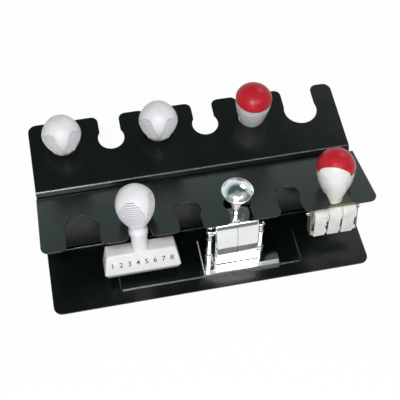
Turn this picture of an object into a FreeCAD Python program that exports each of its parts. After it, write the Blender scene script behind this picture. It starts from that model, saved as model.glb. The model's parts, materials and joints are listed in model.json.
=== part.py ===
import FreeCAD, Part
import math
import os
import re
import Sketcher

# Desk stamp rack of bent sheet steel: two shelves of keyholes over a base plate.
# Three knob stamps, a red-capped stamp and a date stamp hang in the keyholes, and a
# numbering machine stands on the base plate with its shank in a front keyhole.
# X runs along the rack, +Y to its back, +Z up. Millimetres and degrees.
# The origin is below the middle of the whole rack, on the surface that it stands on.

SIZES = {
    # rack
    "sheet": 1.5,
    "rack_width": 300,
    "front_overhang": 1.65,
    "rack_shift": -1.2,
    "base_front": 68.1,
    "base_rear": 84,
    "base_corner": 8,
    "shelf_corner": 8,
    "wall_lean": 25.9,
    "wall_length": 65.3,
    "rear_length": 74.6,
    "rear_tilt": 5.9,
    "front_length": 76,
    "front_tilt": 14.6,
    "front_drop": 5,
    "front_flange": 14,
    "foot_flange": 16,
    "base_rivet_setback": 9.6,
    "wall_rivet_drop": 7.7,
    "bend_radius": 1.2,
    "panel_length": 172,
    "panel_depth": 41,
    "panel_front": 13.9,
    "panel_rise": 1,
    # keyholes
    "end_margin": 31.5,
    "wide_margin": 36,
    "hole_inset": 26,
    "hole_radius": 12.5,
    "hole_neck": 20.3,
    "wide_hole_radius": 16,
    "wide_hole_neck": 30.4,
    "tab_corner": 6.5,
    # rivets and feet
    "rivet_radius": 1.6,
    "rivet_head_radius": 3,
    "rivet_head": 0.8,
    "rivet_pitch": 88,
    "bore_reach": 9,
    "foot_radius": 6,
    "foot_height": 2,
    "foot_inset": 16,
    # clearances
    "seat_gap": 0.3,
    "shaft_gap": 0.05,
    "slide_gap": 0.3,
    # knob stamps, measured down from the middle of the ball
    "knob_radius": 18.5,
    "knob_shoulder_drop": 4,
    "knob_shoulder_radius": 18.06,
    "knob_waist_drop": 15,
    "knob_waist_radius": 13.8,
    "knob_neck_drop": 24.5,
    "knob_neck_radius": 7.2,
    "collar_drop": 28.6,
    "collar_height": 5.8,
    "collar_radius": 8.9,
    "stem_radius": 7.45,
    "spigot_radius": 4,
    "spigot_height": 9,
    "block_drop": 51.4,
    "block_length": 71.5,
    "rear_block_length": 56,
    "block_end_slope": 3.8,
    "block_top_depth": 15.6,
    "block_depth": 22.8,
    "block_height": 21,
    "label_margin": 5.7,
    "label_height": 11,
    "label_thickness": 0.4,
    "label_rise": 5,
    "cushion_inset": 2,
    "cushion_height": 2.5,
    "die_inset": 3,
    "die_height": 2,
    # red-capped stamp, measured down from its widest ring
    "cap_grip_radius": 17.7,
    "cap_shoulder_drop": 16,
    "cap_shoulder_radius": 15.6,
    "cap_tail_drop": 44,
    "cap_tail_radius": 8.8,
    "cap_block_gap": 6,
    # date stamp, measured down from its widest ring
    "date_grip_radius": 18.1,
    "date_shoulder_drop": 15,
    "date_shoulder_radius": 15.5,
    "date_tail_drop": 37,
    "date_tail_radius": 6.9,
    "date_plate_length": 46,
    "date_plate_depth": 20,
    "date_plate_thickness": 2.4,
    "date_cheek_thickness": 1.6,
    "date_cheek_depth": 9,
    "date_axle_drop": 51,
    "date_axle_radius": 1.5,
    "date_axle_overhang": 3,
    "date_nut_radius": 2.8,
    "date_nut_length": 2,
    "date_pitch": 13.4,
    "date_column": 12.9,
    "date_drum_radius": 9,
    "date_thumb_radius": 10.6,
    "date_thumb_width": 1.6,
    "date_tooth_depth": 0.7,
    "date_tooth_width": 1.4,
    "date_band_gap": 0.2,
    "date_band": 1,
    "date_sole_drop": 76,
    "date_sole_half": 6,
    "date_shoe_height": 5,
    # red caps
    "cap_rim_rise": 3,
    "cap_rim_inset": 0.5,
    "cap_dome": 9.5,
    "date_dome": 15,
    # numbering machine, measured from its axis and from the bottom of its foot
    "machine_offset": -3,
    "machine_setback": 38.1,
    "machine_foot_width": 73,
    "machine_foot_depth": 39,
    "machine_foot_thickness": 3,
    "machine_foot_shift": 3.5,
    "machine_foot_lead": 5.5,
    "machine_window_width": 34,
    "machine_window_depth": 22,
    "casing_width": 40,
    "casing_wall": 1.5,
    "casing_front": 16,
    "casing_rear": 14,
    "casing_top": 57,
    "casing_bottom": 4.5,
    "casing_shoulder": 39.9,
    "casing_slope": 3.5,
    "casing_brow": 7,
    "casing_corner": 2,
    "casing_cheek_depth": 22.4,
    "bridge_depth": 10.4,
    "column_radius": 2.4,
    "column_spread": 24.6,
    "column_lead": 4,
    "column_height": 38,
    "lug_height": 4,
    "machine_collar_radius": 7.5,
    "machine_collar_height": 4,
    "rod_radius": 2.6,
    "press_travel": 8,
    "shank_length": 19,
    "shank_radius": 7.5,
    "shank_tip_radius": 2.8,
    "machine_knob_radius": 14.2,
    "machine_knob_height": 7,
    "machine_knob_skirt": 4.5,
    "machine_knob_neck": 2.5,
    "carriage_width": 33,
    "carriage_depth": 14,
    "carriage_wall": 1.5,
    "carriage_height": 26,
    "number_wheel_radius": 9,
    "number_wheel_width": 4.5,
    "number_wheel_pitch": 4.7,
    "number_wheel_rise": 17.5,
    "number_axle_radius": 2,
    "spring_wire_radius": 0.5,
    "spring_radius": 4.2,
    "spring_turns": 5,
    "lever_radius": 4,
    "lever_thickness": 2,
    "lever_length": 14,
    "lever_width": 4,
    "lever_pivot_radius": 1.5,
    "lever_pin_head": 1.2,
    "lever_knob_radius": 2.6,
    "lever_knob_length": 4,
    "lever_rise": 26,
    "lever_lead": 6,
}

HOLE_COUNT = 6
RIVETS_IN_ROW = 4
DATE_WHEELS = ("day", "month", "year")
NUMBER_WHEELS = 6
# Places in a row, counted from the left, from 0
MACHINE_HOLE = 3
TEETH = 20

# An edge counts as parallel to a line, or as lying on it, within these distances
PARALLEL = 1e-6
ON_LINE = 1e-3

doc = FreeCAD.newDocument("stamp_rack")
sheet = doc.addObject("Spreadsheet::Sheet", "Sizes")
for row, (alias, value) in enumerate(SIZES.items(), start=1):
    sheet.set("A%d" % row, alias)
    sheet.set("B%d" % row, str(value))
    sheet.setAlias("B%d" % row, alias)
doc.recompute()

# Any turn but none gives a placement an axis that the sheet's angle can then use
START_TURN = 10
NAME = re.compile(r"[a-z][a-z0-9_]*")
SUBPARTS = []
counter = {}


def linked(text):
    """Turn bare size names in an expression into references to the sheet."""
    def reference(match):
        word = match.group(0)
        return "Sizes." + word if word in SIZES else word
    return NAME.sub(reference, text)


def bind(target, prop, text):
    target.setExpression(prop, linked(text))


def unique(name):
    counter[name] = counter.get(name, 0) + 1
    return name if counter[name] == 1 else "%s_%d" % (name, counter[name])


def place(shape, x="0", y="0", z="0", tilt=None, axis=(1, 0, 0)):
    """Bind a shape's position, and its turn about an axis, to the sheet."""
    if tilt is not None:
        turn = FreeCAD.Rotation(FreeCAD.Vector(*axis), START_TURN)
        shape.Placement = FreeCAD.Placement(FreeCAD.Vector(0, 0, 0), turn)
        bind(shape, "Placement.Rotation.Angle", tilt)
    for prop, text in (("x", x), ("y", y), ("z", z)):
        bind(shape, "Placement.Base." + prop, text)
    return shape


def keep(label, shape):
    """Name a finished sub-part; its label is its file's name."""
    shape.Label = label
    SUBPARTS.append(shape)
    return shape


def box(name, lengths, corner):
    solid = doc.addObject("Part::Box", unique(name))
    for prop, text in zip(("Length", "Width", "Height"), lengths):
        bind(solid, prop, text)
    return place(solid, *corner)


def centred_box(name, lengths, middle_low):
    """A box centred over a point in X and Y, with its lowest face at z."""
    x, y, z = middle_low
    corner = ("%s - (%s) / 2" % (x, lengths[0]), "%s - (%s) / 2" % (y, lengths[1]), z)
    return box(name, lengths, corner)


def cylinder(name, radius, height, start=("0", "0", "0"), along="z"):
    solid = doc.addObject("Part::Cylinder", unique(name))
    bind(solid, "Radius", radius)
    bind(solid, "Height", height)
    if along == "x":
        return place(solid, *start, tilt="90", axis=(0, 1, 0))
    return place(solid, *start)


def cone(name, low_radius, high_radius, height, start=("0", "0", "0")):
    solid = doc.addObject("Part::Cone", unique(name))
    bind(solid, "Radius1", low_radius)
    bind(solid, "Radius2", high_radius)
    bind(solid, "Height", height)
    return place(solid, *start)


def spherical_cap(name, rim_radius, height, low):
    """The top of a sphere, from a flat circle of the given radius upwards."""
    radius = "((%s ^ 2 + %s ^ 2) / (2 * %s))" % (rim_radius, height, height)
    dome = doc.addObject("Part::Sphere", unique(name))
    bind(dome, "Radius", radius)
    bind(dome, "Angle1", "asin(1 - %s / %s)" % (height, radius))
    return place(dome, "0", "0", "%s + %s - %s" % (low, height, radius))


def fuse(name, shapes):
    joined = doc.addObject("Part::MultiFuse", unique(name))
    joined.Shapes = shapes
    return joined


def group(name, shapes):
    loose = doc.addObject("Part::Compound", unique(name))
    loose.Links = shapes
    return loose


def cut(name, base, tools):
    hollow = doc.addObject("Part::Cut", unique(name))
    hollow.Base = base
    hollow.Tool = tools[0] if len(tools) == 1 else fuse(name + "_tools", tools)
    return hollow


def origin_plane(body, role):
    return [item for item in body.Origin.OriginFeatures if item.Role == role][0]


def outline(body, role, corners):
    """A closed sketch of straight lines whose corners are bound to the sheet."""
    sketch = body.newObject("Sketcher::SketchObject", unique(body.Name + "_outline"))
    sketch.AttachmentSupport = [(origin_plane(body, role), "")]
    sketch.MapMode = "FlatFace"
    count = len(corners)
    ring = [2 * math.pi * k / count for k in range(count)]
    start = [FreeCAD.Vector(math.cos(angle), math.sin(angle), 0) for angle in ring]
    for k in range(count):
        sketch.addGeometry(Part.LineSegment(start[k], start[(k + 1) % count]), False)
    for k in range(count):
        sketch.addConstraint(Sketcher.Constraint("Coincident", k, 2, (k + 1) % count, 1))
    for k, corner in enumerate(corners):
        for kind, text in zip(("DistanceX", "DistanceY"), corner):
            index = sketch.addConstraint(Sketcher.Constraint(kind, -1, 1, k, 1, 1.0))
            bind(sketch, "Constraints[%d]" % index, text)
    return sketch


def padded(name, role, corners, length, rounds=None):
    """A prism padded both ways from an origin plane; rounds maps a corner to a radius."""
    body = doc.addObject("PartDesign::Body", unique(name))
    sketch = outline(body, role, corners)
    pad = body.newObject("PartDesign::Pad", unique(name + "_pad"))
    pad.Profile = sketch
    pad.SideType = "Symmetric"
    bind(pad, "Length", length)
    doc.recompute()
    if rounds:
        for radius in sorted(set(rounds.values())):
            wanted = [k for k in rounds if rounds[k] == radius]
            last = body.Tip
            points = [sketch.Placement.multVec(sketch.Geometry[k].StartPoint) for k in wanted]
            direction = sketch.Placement.Rotation.multVec(FreeCAD.Vector(0, 0, 1))
            edges = edges_through(last.Shape, points, direction)
            fillet = body.newObject("PartDesign::Fillet", unique(name + "_round"))
            fillet.Base = (last, edges)
            bind(fillet, "Radius", radius)
            doc.recompute()
    return body


def edges_through(shape, points, direction):
    """Names of the straight edges along a direction that pass through given points."""
    names = []
    for index, middle in straight_edges(shape, direction):
        if any((middle - point).cross(direction).Length < ON_LINE for point in points):
            names.append("Edge%d" % index)
    return names


def straight_edges(shape, direction):
    """Numbers and middles of the straight edges along a direction."""
    found = []
    for index, edge in enumerate(shape.Edges, start=1):
        if len(edge.Vertexes) != 2:
            continue
        run = edge.Vertexes[1].Point - edge.Vertexes[0].Point
        if run.Length > PARALLEL and run.cross(direction).Length < PARALLEL * run.Length:
            found.append((index, (edge.Vertexes[0].Point + edge.Vertexes[1].Point) * 0.5))
    return found


def rounded(name, base, edges_and_radii):
    """Round upright edges; radii are read from the sheet."""
    smooth = doc.addObject("Part::Fillet", unique(name))
    smooth.Base = base
    smooth.Edges = edges_and_radii
    return smooth


def corner_edges(shape, frame, test):
    """Numbers of the edges along a frame's Z whose middle, in that frame, passes a test."""
    up = frame.Rotation.multVec(FreeCAD.Vector(0, 0, 1))
    back = frame.inverse()
    return [index for index, middle in straight_edges(shape, up) if test(back.multVec(middle))]


# One keyhole of a row is wide; as much sheet is left beside it as between the others
WIDER = "(wide_hole_radius - hole_radius)"
HOLE_PITCH = "((rack_width - wide_margin - end_margin - %s) / %d)" % (WIDER, HOLE_COUNT - 1)
FRONT_WIDTH = "(rack_width + 2 * front_overhang)"

# Points of the rack's side view, in the frame of the wall's foot: y back, z up
TOP_BEND = ("wall_length * sin(wall_lean)", "wall_length * cos(wall_lean)")
REAR_EDGE = (TOP_BEND[0] + " + rear_length * cos(rear_tilt)",
             TOP_BEND[1] + " + rear_length * sin(rear_tilt)")
JOIN = ("(wall_length - front_drop) * sin(wall_lean)", "(wall_length - front_drop) * cos(wall_lean)")
FRONT_EDGE = (JOIN[0] + " - front_length * cos(front_tilt)",
              JOIN[1] + " + front_length * sin(front_tilt)")
RIVET_RUN = "(wall_length - front_drop - wall_rivet_drop)"
WALL_RIVET = ("%s * sin(wall_lean) + sheet * cos(wall_lean)" % RIVET_RUN,
              "%s * cos(wall_lean) - sheet * sin(wall_lean)" % RIVET_RUN)
CARRIAGE_TOP = "(number_wheel_rise - number_wheel_radius / 2 + carriage_height)"
BRIDGE_Z = "(%s + seat_gap)" % CARRIAGE_TOP
UNDER_TOP = "(casing_top - 2 * casing_wall)"
STOP_Z = "(%s - slide_gap)" % UNDER_TOP
ROD_BORE = "(rod_radius + shaft_gap)"
# The front sheet is centred over the origin in X
WALL_Y = "(base_front - (%s) - sheet * sin(rear_tilt)) / 2" % REAR_EDGE[0]
REAR_X = "rack_shift"
BASE_TOP = "foot_height + sheet"


def mitre(corner, first, second):
    """The inner corner of a bend: first and second are the normals into the sheet."""
    spread = "(1 + (%s) * (%s) + (%s) * (%s))" % (first[0], second[0], first[1], second[1])
    return tuple("%s + sheet * ((%s) + (%s)) / %s" % (corner[i], first[i], second[i], spread)
                 for i in range(2))


def along_row(index):
    """How far a keyhole's middle is from the row's middle; the wide one, at the left, is number 0."""
    shift = " + " + WIDER if index else ""
    return "(%d * %s + wide_margin - rack_width / 2%s)" % (index, HOLE_PITCH, shift)


def keyhole(name, index, side):
    """The cutter of one keyhole, in the shelf's frame: origin on its free edge, Z up."""
    wide = index == 0
    radius = "wide_hole_radius" if wide else "hole_radius"
    neck = "wide_hole_neck" if wide else "hole_neck"
    middle = "%d * %s" % (side, along_row(index))
    inset = "%d * hole_inset" % side
    round_part = cylinder(name + "_round", radius, "bore_reach", (middle, inset, "-bore_reach / 2"))
    low = "-sheet" if side > 0 else "-hole_inset"
    slot = box(name + "_slot", (neck, "hole_inset + sheet", "bore_reach"),
               ("%s - %s / 2" % (middle, neck), low, "-bore_reach / 2"))
    return [round_part, slot]


def shelf(name, profile, rounds, width, edge_point, tilt, side, shift, bores):
    """A bent sheet with a row of keyholes open to its free edge, and its rivet bores."""
    blank = padded(name + "_blank", "YZ_Plane", profile, width, rounds)
    tools = []
    for index in range(HOLE_COUNT):
        tools += keyhole(name + "_keyhole", index, side)
    holes = fuse(name + "_keyholes", tools)
    place(holes, "0", edge_point[0], edge_point[1], tilt=tilt)
    punched = cut(name + "_punched", blank, [holes] + bores)
    doc.recompute()
    frame = holes.Placement
    at_edge = corner_edges(punched.Shape, frame, lambda p: abs(p.y) < ON_LINE)
    end = max(abs(punched.Shape.BoundBox.XMin), abs(punched.Shape.BoundBox.XMax))
    pairs = []
    for index in at_edge:
        x = punched.Shape.Edges[index - 1].Vertexes[0].Point.x
        radius = size("shelf_corner") if abs(x) > end - ON_LINE else size("tab_corner")
        pairs.append((index, radius, radius))
    smooth = rounded(name + "_sheet", punched, pairs)
    place(smooth, shift, WALL_Y, BASE_TOP)
    return keep(name, smooth)


def size(alias):
    return float(sheet.get(alias))


def rack():
    """Base plate, two shelves, rivets and feet."""
    lean = ("sin(wall_lean)", "cos(wall_lean)")
    behind = (lean[1], "-" + lean[0])
    ahead = ("-" + lean[1], lean[0])
    rear_under = ("sin(rear_tilt)", "-cos(rear_tilt)")
    front_under = ("-sin(front_tilt)", "-cos(front_tilt)")
    rear_profile = [
        ("0", "0"),
        TOP_BEND,
        REAR_EDGE,
        tuple(REAR_EDGE[i] + " + sheet * (" + rear_under[i] + ")" for i in range(2)),
        mitre(TOP_BEND, behind, rear_under),
        ("sheet * cos(wall_lean) + sheet * (1 + sin(wall_lean)) * tan(wall_lean)", "sheet"),
        ("foot_flange", "sheet"),
        ("foot_flange", "0"),
    ]
    shelf("rear_shelf", rear_profile, {1: "bend_radius + sheet", 4: "bend_radius"}, "rack_width",
          REAR_EDGE, "rear_tilt", -1, REAR_X, [base_bores(), wall_bores("-rack_shift")])
    flange_end = ("(wall_length - front_drop - front_flange) * sin(wall_lean)",
                  "(wall_length - front_drop - front_flange) * cos(wall_lean)")
    front_profile = [
        JOIN,
        FRONT_EDGE,
        tuple(FRONT_EDGE[i] + " + sheet * (" + front_under[i] + ")" for i in range(2)),
        mitre(JOIN, ahead, front_under),
        (flange_end[0] + " + sheet * (" + ahead[0] + ")", flange_end[1] + " + sheet * " + ahead[1]),
        flange_end,
    ]
    shelf("front_shelf", front_profile, {0: "bend_radius + sheet", 3: "bend_radius"}, FRONT_WIDTH,
          FRONT_EDGE, "-front_tilt", 1, "0", [wall_bores("0")])
    base_plate()
    rivets()
    feet = []
    for sx in (-1, 1):
        for y in ("-base_front + foot_inset", "base_rear - foot_inset"):
            feet.append(cylinder("foot", "foot_radius", "foot_height",
                                 ("%d * (rack_width / 2 - foot_inset)" % sx, y, "0")))
    keep("rubber_feet", place(group("feet", feet), REAR_X, WALL_Y, "0"))


def base_plate():
    plate = box("plate", ("rack_width", "base_front + base_rear", "sheet"),
                ("-rack_width / 2", "-base_front", "0"))
    panel_y = "-base_front + panel_front + panel_depth / 2"
    raised = panel("panel", "0", panel_y, "sheet")
    under = panel("panel_under", "-sheet", panel_y, "0")
    joined = fuse("plate_panel", [plate, raised])
    pressed = cut("plate_pressed", joined, [under, base_bores()])
    doc.recompute()
    plain = FreeCAD.Placement()
    half = size("rack_width") / 2
    corners = corner_edges(pressed.Shape, plain, lambda p: abs(abs(p.x) - half) < ON_LINE)
    radius = size("base_corner")
    smooth = rounded("base_sheet", pressed, [(index, radius, radius) for index in corners])
    keep("base_plate", place(smooth, REAR_X, WALL_Y, "foot_height"))


def panel(name, grow, y, z):
    """A low frustum: the pressed panel, or the smaller hollow under it."""
    low = ("panel_length + 2 * (panel_rise + %s)" % grow, "panel_depth + 2 * (panel_rise + %s)" % grow)
    high = ("panel_length + 2 * (%s)" % grow, "panel_depth + 2 * (%s)" % grow)
    return place(frustum(name, low, high, "panel_rise"), "0", y, z)


def rivet_places():
    return ["%g * rivet_pitch" % (k - (RIVETS_IN_ROW - 1) / 2) for k in range(RIVETS_IN_ROW)]


def base_bores():
    """Bores of the base rivets, in the frame of the wall's foot."""
    starts = [(x, "base_rivet_setback", "-bore_reach / 2") for x in rivet_places()]
    bores = [cylinder("base_bore", "rivet_radius", "bore_reach", start) for start in starts]
    return fuse("base_bores", bores)


def wall_bores(shift):
    """Bores of the wall rivets, in the frame of the wall's foot."""
    starts = [(x, "0", "-bore_reach / 2") for x in rivet_places()]
    bores = [cylinder("wall_bore", "rivet_radius", "bore_reach", start) for start in starts]
    return place(fuse("wall_bores", bores), shift, WALL_RIVET[0], WALL_RIVET[1], tilt="90 - wall_lean")


def rivet(name, x):
    """One rivet along Z through two sheets, with a head on each side."""
    shank = cylinder(name + "_shank", "rivet_radius", "2 * sheet", (x, "0", "0"))
    low = cylinder(name + "_head", "rivet_head_radius", "rivet_head", (x, "0", "-rivet_head"))
    high = cylinder(name + "_head", "rivet_head_radius", "rivet_head", (x, "0", "2 * sheet"))
    return fuse(name, [shank, low, high])


def rivets():
    """Rivets that hold the wall's foot flange to the base, and the front shelf to the wall."""
    base = group("base_rivet_row", [rivet("base_rivet", x) for x in rivet_places()])
    keep("base_rivets", place(base, REAR_X, WALL_Y + " + base_rivet_setback", "foot_height"))
    wall = group("shelf_rivet_row", [rivet("shelf_rivet", x) for x in rivet_places()])
    place(wall, "0", WALL_Y + " + " + WALL_RIVET[0], BASE_TOP + " + " + WALL_RIVET[1], tilt="90 - wall_lean")
    keep("shelf_rivets", wall)


def seat(row, place_in_row):
    """Where a stamp hangs: the middle of a keyhole on its shelf's top, and the shelf's tilt."""
    if row == "front":
        x = along_row(place_in_row)
        y = WALL_Y + " + " + FRONT_EDGE[0] + " + hole_inset * cos(front_tilt)"
        z = BASE_TOP + " + " + FRONT_EDGE[1] + " - hole_inset * sin(front_tilt)"
        return x, y, z, "-front_tilt"
    x = REAR_X + " - " + along_row(HOLE_COUNT - 1 - place_in_row)
    y = WALL_Y + " + " + REAR_EDGE[0] + " - hole_inset * cos(rear_tilt)"
    z = BASE_TOP + " + " + REAR_EDGE[1] + " - hole_inset * sin(rear_tilt)"
    return x, y, z, "rear_tilt"


def seat_rise(kind, low, high):
    """How high the widest ring stands over the shelf when the cone below it rests in a keyhole."""
    top, bottom = kind + "_" + high, kind + "_" + low
    return ("(%s_drop + (%s_radius - hole_radius + seat_gap) * (%s_drop - %s_drop) / (%s_radius - %s_radius))"
            % (top, top, bottom, top, top, bottom))


def stamp_part(label, where, shape):
    x, y, z, tilt = where
    return keep(label, place(shape, x, y, z, tilt=tilt))


def frustum(name, low, high, height):
    """A block with a rectangular foot and a smaller rectangular top."""
    body = doc.addObject("PartDesign::Body", unique(name))
    sections = []
    for (length, depth), level in ((low, "0"), (high, height)):
        half_x, half_y = "(%s) / 2" % length, "(%s) / 2" % depth
        left, front = "-" + half_x, "-" + half_y
        corners = [(left, front), (half_x, front), (half_x, half_y), (left, half_y)]
        sketch = outline(body, "XY_Plane", corners)
        bind(sketch, "AttachmentOffset.Base.z", level)
        sections.append(sketch)
    loft = body.newObject("PartDesign::AdditiveLoft", unique(name + "_loft"))
    loft.Profile = sections[0]
    loft.Sections = [sections[1]]
    return body


def text_block(prefix, where, block_top, stem_top, length):
    """The printing half of a stamp: block on a stem, label, cushion and die."""
    block_bottom = "(%s - block_height)" % block_top
    block = frustum("block", (length, "block_depth"), (length + " - 2 * block_end_slope", "block_top_depth"),
                    "block_height")
    place(block, "0", "0", block_bottom)
    stem = cylinder("stem", "stem_radius", "(%s) - (%s)" % (stem_top, block_top), ("0", "0", block_top))
    spigot = cylinder("spigot", "spigot_radius", "spigot_height", ("0", "0", stem_top))
    stamp_part(prefix + "_block", where, fuse(prefix + "_block_solid", [block, stem, spigot]))
    slope = "atan((block_depth - block_top_depth) / 2 / block_height)"
    face_y = "(-block_depth / 2 + label_rise * tan(%s))" % slope
    corner = ("label_margin - %s / 2" % length, "%s - label_thickness * cos(%s)" % (face_y, slope),
              "%s + label_rise + label_thickness * sin(%s)" % (block_bottom, slope))
    strip = box("strip", (length + " - 2 * label_margin", "label_thickness", "label_height"), corner)
    place(strip, *corner, tilt="-" + slope)
    stamp_part(prefix + "_label", where, group(prefix + "_label_strip", [strip]))
    below = block_bottom
    for kind in ("cushion", "die"):
        below = "%s - %s_height" % (below, kind)
        footprint = ["%s - 2 * %s_inset" % (side, kind) for side in (length, "block_depth")]
        layer = centred_box(kind, (*footprint, kind + "_height"), ("0", "0", below))
        stamp_part("%s_%s" % (prefix, kind), where, group("%s_%s_layer" % (prefix, kind), [layer]))


def knob_stamp(prefix, where, length):
    """A ball-knob stamp with a block of the given length."""
    rise = seat_rise("knob", "neck", "waist")
    ball = doc.addObject("Part::Sphere", unique("ball"))
    bind(ball, "Radius", "knob_radius")
    place(ball, "0", "0", rise)
    rings = ("knob_shoulder", "knob_waist", "knob_neck")
    tapers = []
    for upper, lower in zip(rings, rings[1:]):
        start = ("0", "0", "%s - %s_drop" % (rise, lower))
        height = "%s_drop - %s_drop" % (lower, upper)
        tapers.append(cone(lower, lower + "_radius", upper + "_radius", height, start))
    neck = cylinder("neck", "knob_neck_radius", "collar_drop - knob_neck_drop",
                    ("0", "0", rise + " - collar_drop"))
    stem_top = rise + " - collar_drop - collar_height"
    collar = cylinder("collar", "collar_radius", "collar_height", ("0", "0", stem_top))
    whole = fuse(prefix + "_knob_whole", [ball, neck, collar] + tapers)
    socket = cylinder("socket", "spigot_radius", "spigot_height", ("0", "0", stem_top))
    stamp_part(prefix + "_knob", where, cut(prefix + "_knob_solid", whole, [socket]))
    text_block(prefix, where, rise + " - block_drop", stem_top, length)


def capped_grip(prefix, where, kind, rise):
    """A tapered grip with a domed cap; returns the level of its lower end."""
    tail = "(%s - %s_tail_drop)" % (rise, kind)
    widest, shoulder, low = ("%s_%s" % (kind, ring) for ring in ("grip", "shoulder", "tail"))
    rim = cone("rim", widest + "_radius", widest + "_radius - cap_rim_inset", "cap_rim_rise",
               ("0", "0", rise))
    upper = cone("grip_upper", shoulder + "_radius", widest + "_radius", shoulder + "_drop",
                 ("0", "0", "%s - %s_drop" % (rise, shoulder)))
    lower = cone("grip_lower", low + "_radius", shoulder + "_radius", "%s_drop - %s_drop" % (low, shoulder),
                 ("0", "0", tail))
    grip = fuse(prefix + "_grip_whole", [rim, upper, lower])
    socket = cylinder("socket", "spigot_radius", "spigot_height", ("0", "0", tail))
    stamp_part(prefix + "_grip", where, cut(prefix + "_grip_solid", grip, [socket]))
    dome = spherical_cap("dome", "(%s_grip_radius - cap_rim_inset)" % kind, kind + "_dome",
                         rise + " + cap_rim_rise")
    stamp_part(prefix + "_cap", where, group(prefix + "_cap_solid", [dome]))
    return tail


def red_stamp(prefix, where):
    tail = capped_grip(prefix, where, "cap", seat_rise("cap", "tail", "shoulder"))
    text_block(prefix, where, tail + " - cap_block_gap", tail, "rear_block_length")


def date_stamp(prefix, where):
    """A date stamp: three thumb wheels on an axle turn three printing bands."""
    rise = seat_rise("date", "tail", "shoulder")
    tail = capped_grip(prefix, where, "date", rise)
    plate_low = "(%s - date_plate_thickness)" % tail
    sole = "(%s - date_sole_drop + date_band)" % rise
    axle_z = "(%s - date_axle_drop)" % rise
    inner = "(date_plate_length / 2 - date_cheek_thickness)"
    plate = centred_box("date_plate", ("date_plate_length", "date_plate_depth", "date_plate_thickness"),
                        ("0", "0", plate_low))
    spigot = cylinder("spigot", "spigot_radius", "spigot_height", ("0", "0", tail))
    cheek = ("date_cheek_thickness", "date_cheek_depth", "%s - %s" % (plate_low, sole))
    beside = "(date_plate_length - date_cheek_thickness) / 2"
    cheeks = [centred_box("cheek", cheek, (sign + beside, "0", sole)) for sign in ("-", "")]
    frame = fuse(prefix + "_frame_whole", [plate, spigot] + cheeks)
    axle_length = "(date_plate_length + 2 * date_axle_overhang)"
    axle_start = ("-%s / 2" % axle_length, "0", axle_z)
    bore = cylinder("axle_bore", "date_axle_radius", axle_length, axle_start, "x")
    stamp_part(prefix + "_frame", where, cut(prefix + "_frame_solid", frame, [bore]))
    axle = cylinder("axle", "date_axle_radius", axle_length, axle_start, "x")
    stamp_part(prefix + "_axle", where, group(prefix + "_axle_rod", [axle]))
    nuts = []
    for start in ("-date_plate_length / 2 - date_nut_length", "date_plate_length / 2"):
        round_nut = cylinder("nut", "date_nut_radius", "date_nut_length", (start, "0", axle_z), "x")
        hole = cylinder("nut_bore", "date_axle_radius", "date_nut_length", (start, "0", axle_z), "x")
        nuts.append(cut("axle_nut", round_nut, [hole]))
    stamp_part(prefix + "_nuts", where, group(prefix + "_nut_pair", nuts))
    shoe_depth = "2 * (date_sole_half - date_band - date_band_gap)"
    shoe = centred_box("shoe", ("2 * " + inner, shoe_depth, "date_shoe_height"), ("0", "0", sole))
    stamp_part(prefix + "_shoe", where, group(prefix + "_shoe_bar", [shoe]))
    bands = []
    for k, name in enumerate(DATE_WHEELS):
        start = "((%d) * date_pitch - date_column / 2)" % (k - 1)
        date_wheel(prefix + "_" + name + "_wheel", where, start, axle_z)
        bands.append(date_band("band", start, axle_z, sole))
    stamp_part(prefix + "_bands", where, group(prefix + "_band_set", bands))


# A notch between two teeth: its three lengths, and how far its floor is from the axle
NOTCH = ("date_thumb_width", "date_tooth_width", "2 * date_tooth_depth")
NOTCH_FLOOR = "(date_thumb_radius - date_tooth_depth)"


def date_wheel(label, where, start, axle_z):
    """A drum that carries a band, with a toothed flange for the thumb."""
    drum = cylinder("drum", "date_drum_radius", "date_column", (start, "0", axle_z), "x")
    flange_x = "%s + date_column - date_thumb_width" % start
    flange = cylinder("thumb_flange", "date_thumb_radius", "date_thumb_width", (flange_x, "0", axle_z), "x")
    gaps = []
    for k in range(TEETH):
        degrees = 360 * k / TEETH
        notch = doc.addObject("Part::Box", unique("notch"))
        for prop, text in zip(("Length", "Width", "Height"), NOTCH):
            bind(notch, prop, text)
        notch.Placement.Rotation = FreeCAD.Rotation(FreeCAD.Vector(1, 0, 0), degrees)
        sine, cosine = "sin(%g)" % degrees, "cos(%g)" % degrees
        place(notch, flange_x, "-%s * %s - date_tooth_width / 2 * %s" % (NOTCH_FLOOR, sine, cosine),
              "%s + %s * %s - date_tooth_width / 2 * %s" % (axle_z, NOTCH_FLOOR, cosine, sine))
        gaps.append(notch)
    bore = cylinder("wheel_bore", "date_axle_radius + shaft_gap", "date_column", (start, "0", axle_z), "x")
    stamp_part(label, where, cut(label + "_solid", fuse(label + "_whole", [drum, flange]), gaps + [bore]))


def date_band(name, start, axle_z, sole):
    """A closed printing band round a drum and the shoe below it."""
    width = "(date_column - date_thumb_width - 2 * date_band_gap)"
    left = "%s + date_band_gap" % start
    inside = "date_drum_radius + date_band_gap"
    loops = []
    for reach, half, bottom in ((inside + " + date_band", "date_sole_half", sole + " - date_band"),
                                (inside, "date_sole_half - date_band", sole)):
        top = cylinder(name + "_bend", reach, width, (left, "0", axle_z), "x")
        corners = [("-(%s)" % reach, axle_z), ("-(%s)" % half, bottom), (half, bottom), (reach, axle_z)]
        sides = padded(name + "_sides", "YZ_Plane", corners, width)
        place(sides, "%s + %s / 2" % (left, width), "0", "0")
        loops.append(fuse(name + "_loop", [top, sides]))
    return cut(name, loops[0], [loops[1]])


def machine_part(label, shape):
    """Stand a piece of the numbering machine on the base panel."""
    x = along_row(MACHINE_HOLE) + " + machine_offset"
    y = WALL_Y + " - base_front + machine_setback"
    return keep(label, place(shape, x, y, BASE_TOP + " + panel_rise"))


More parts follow.
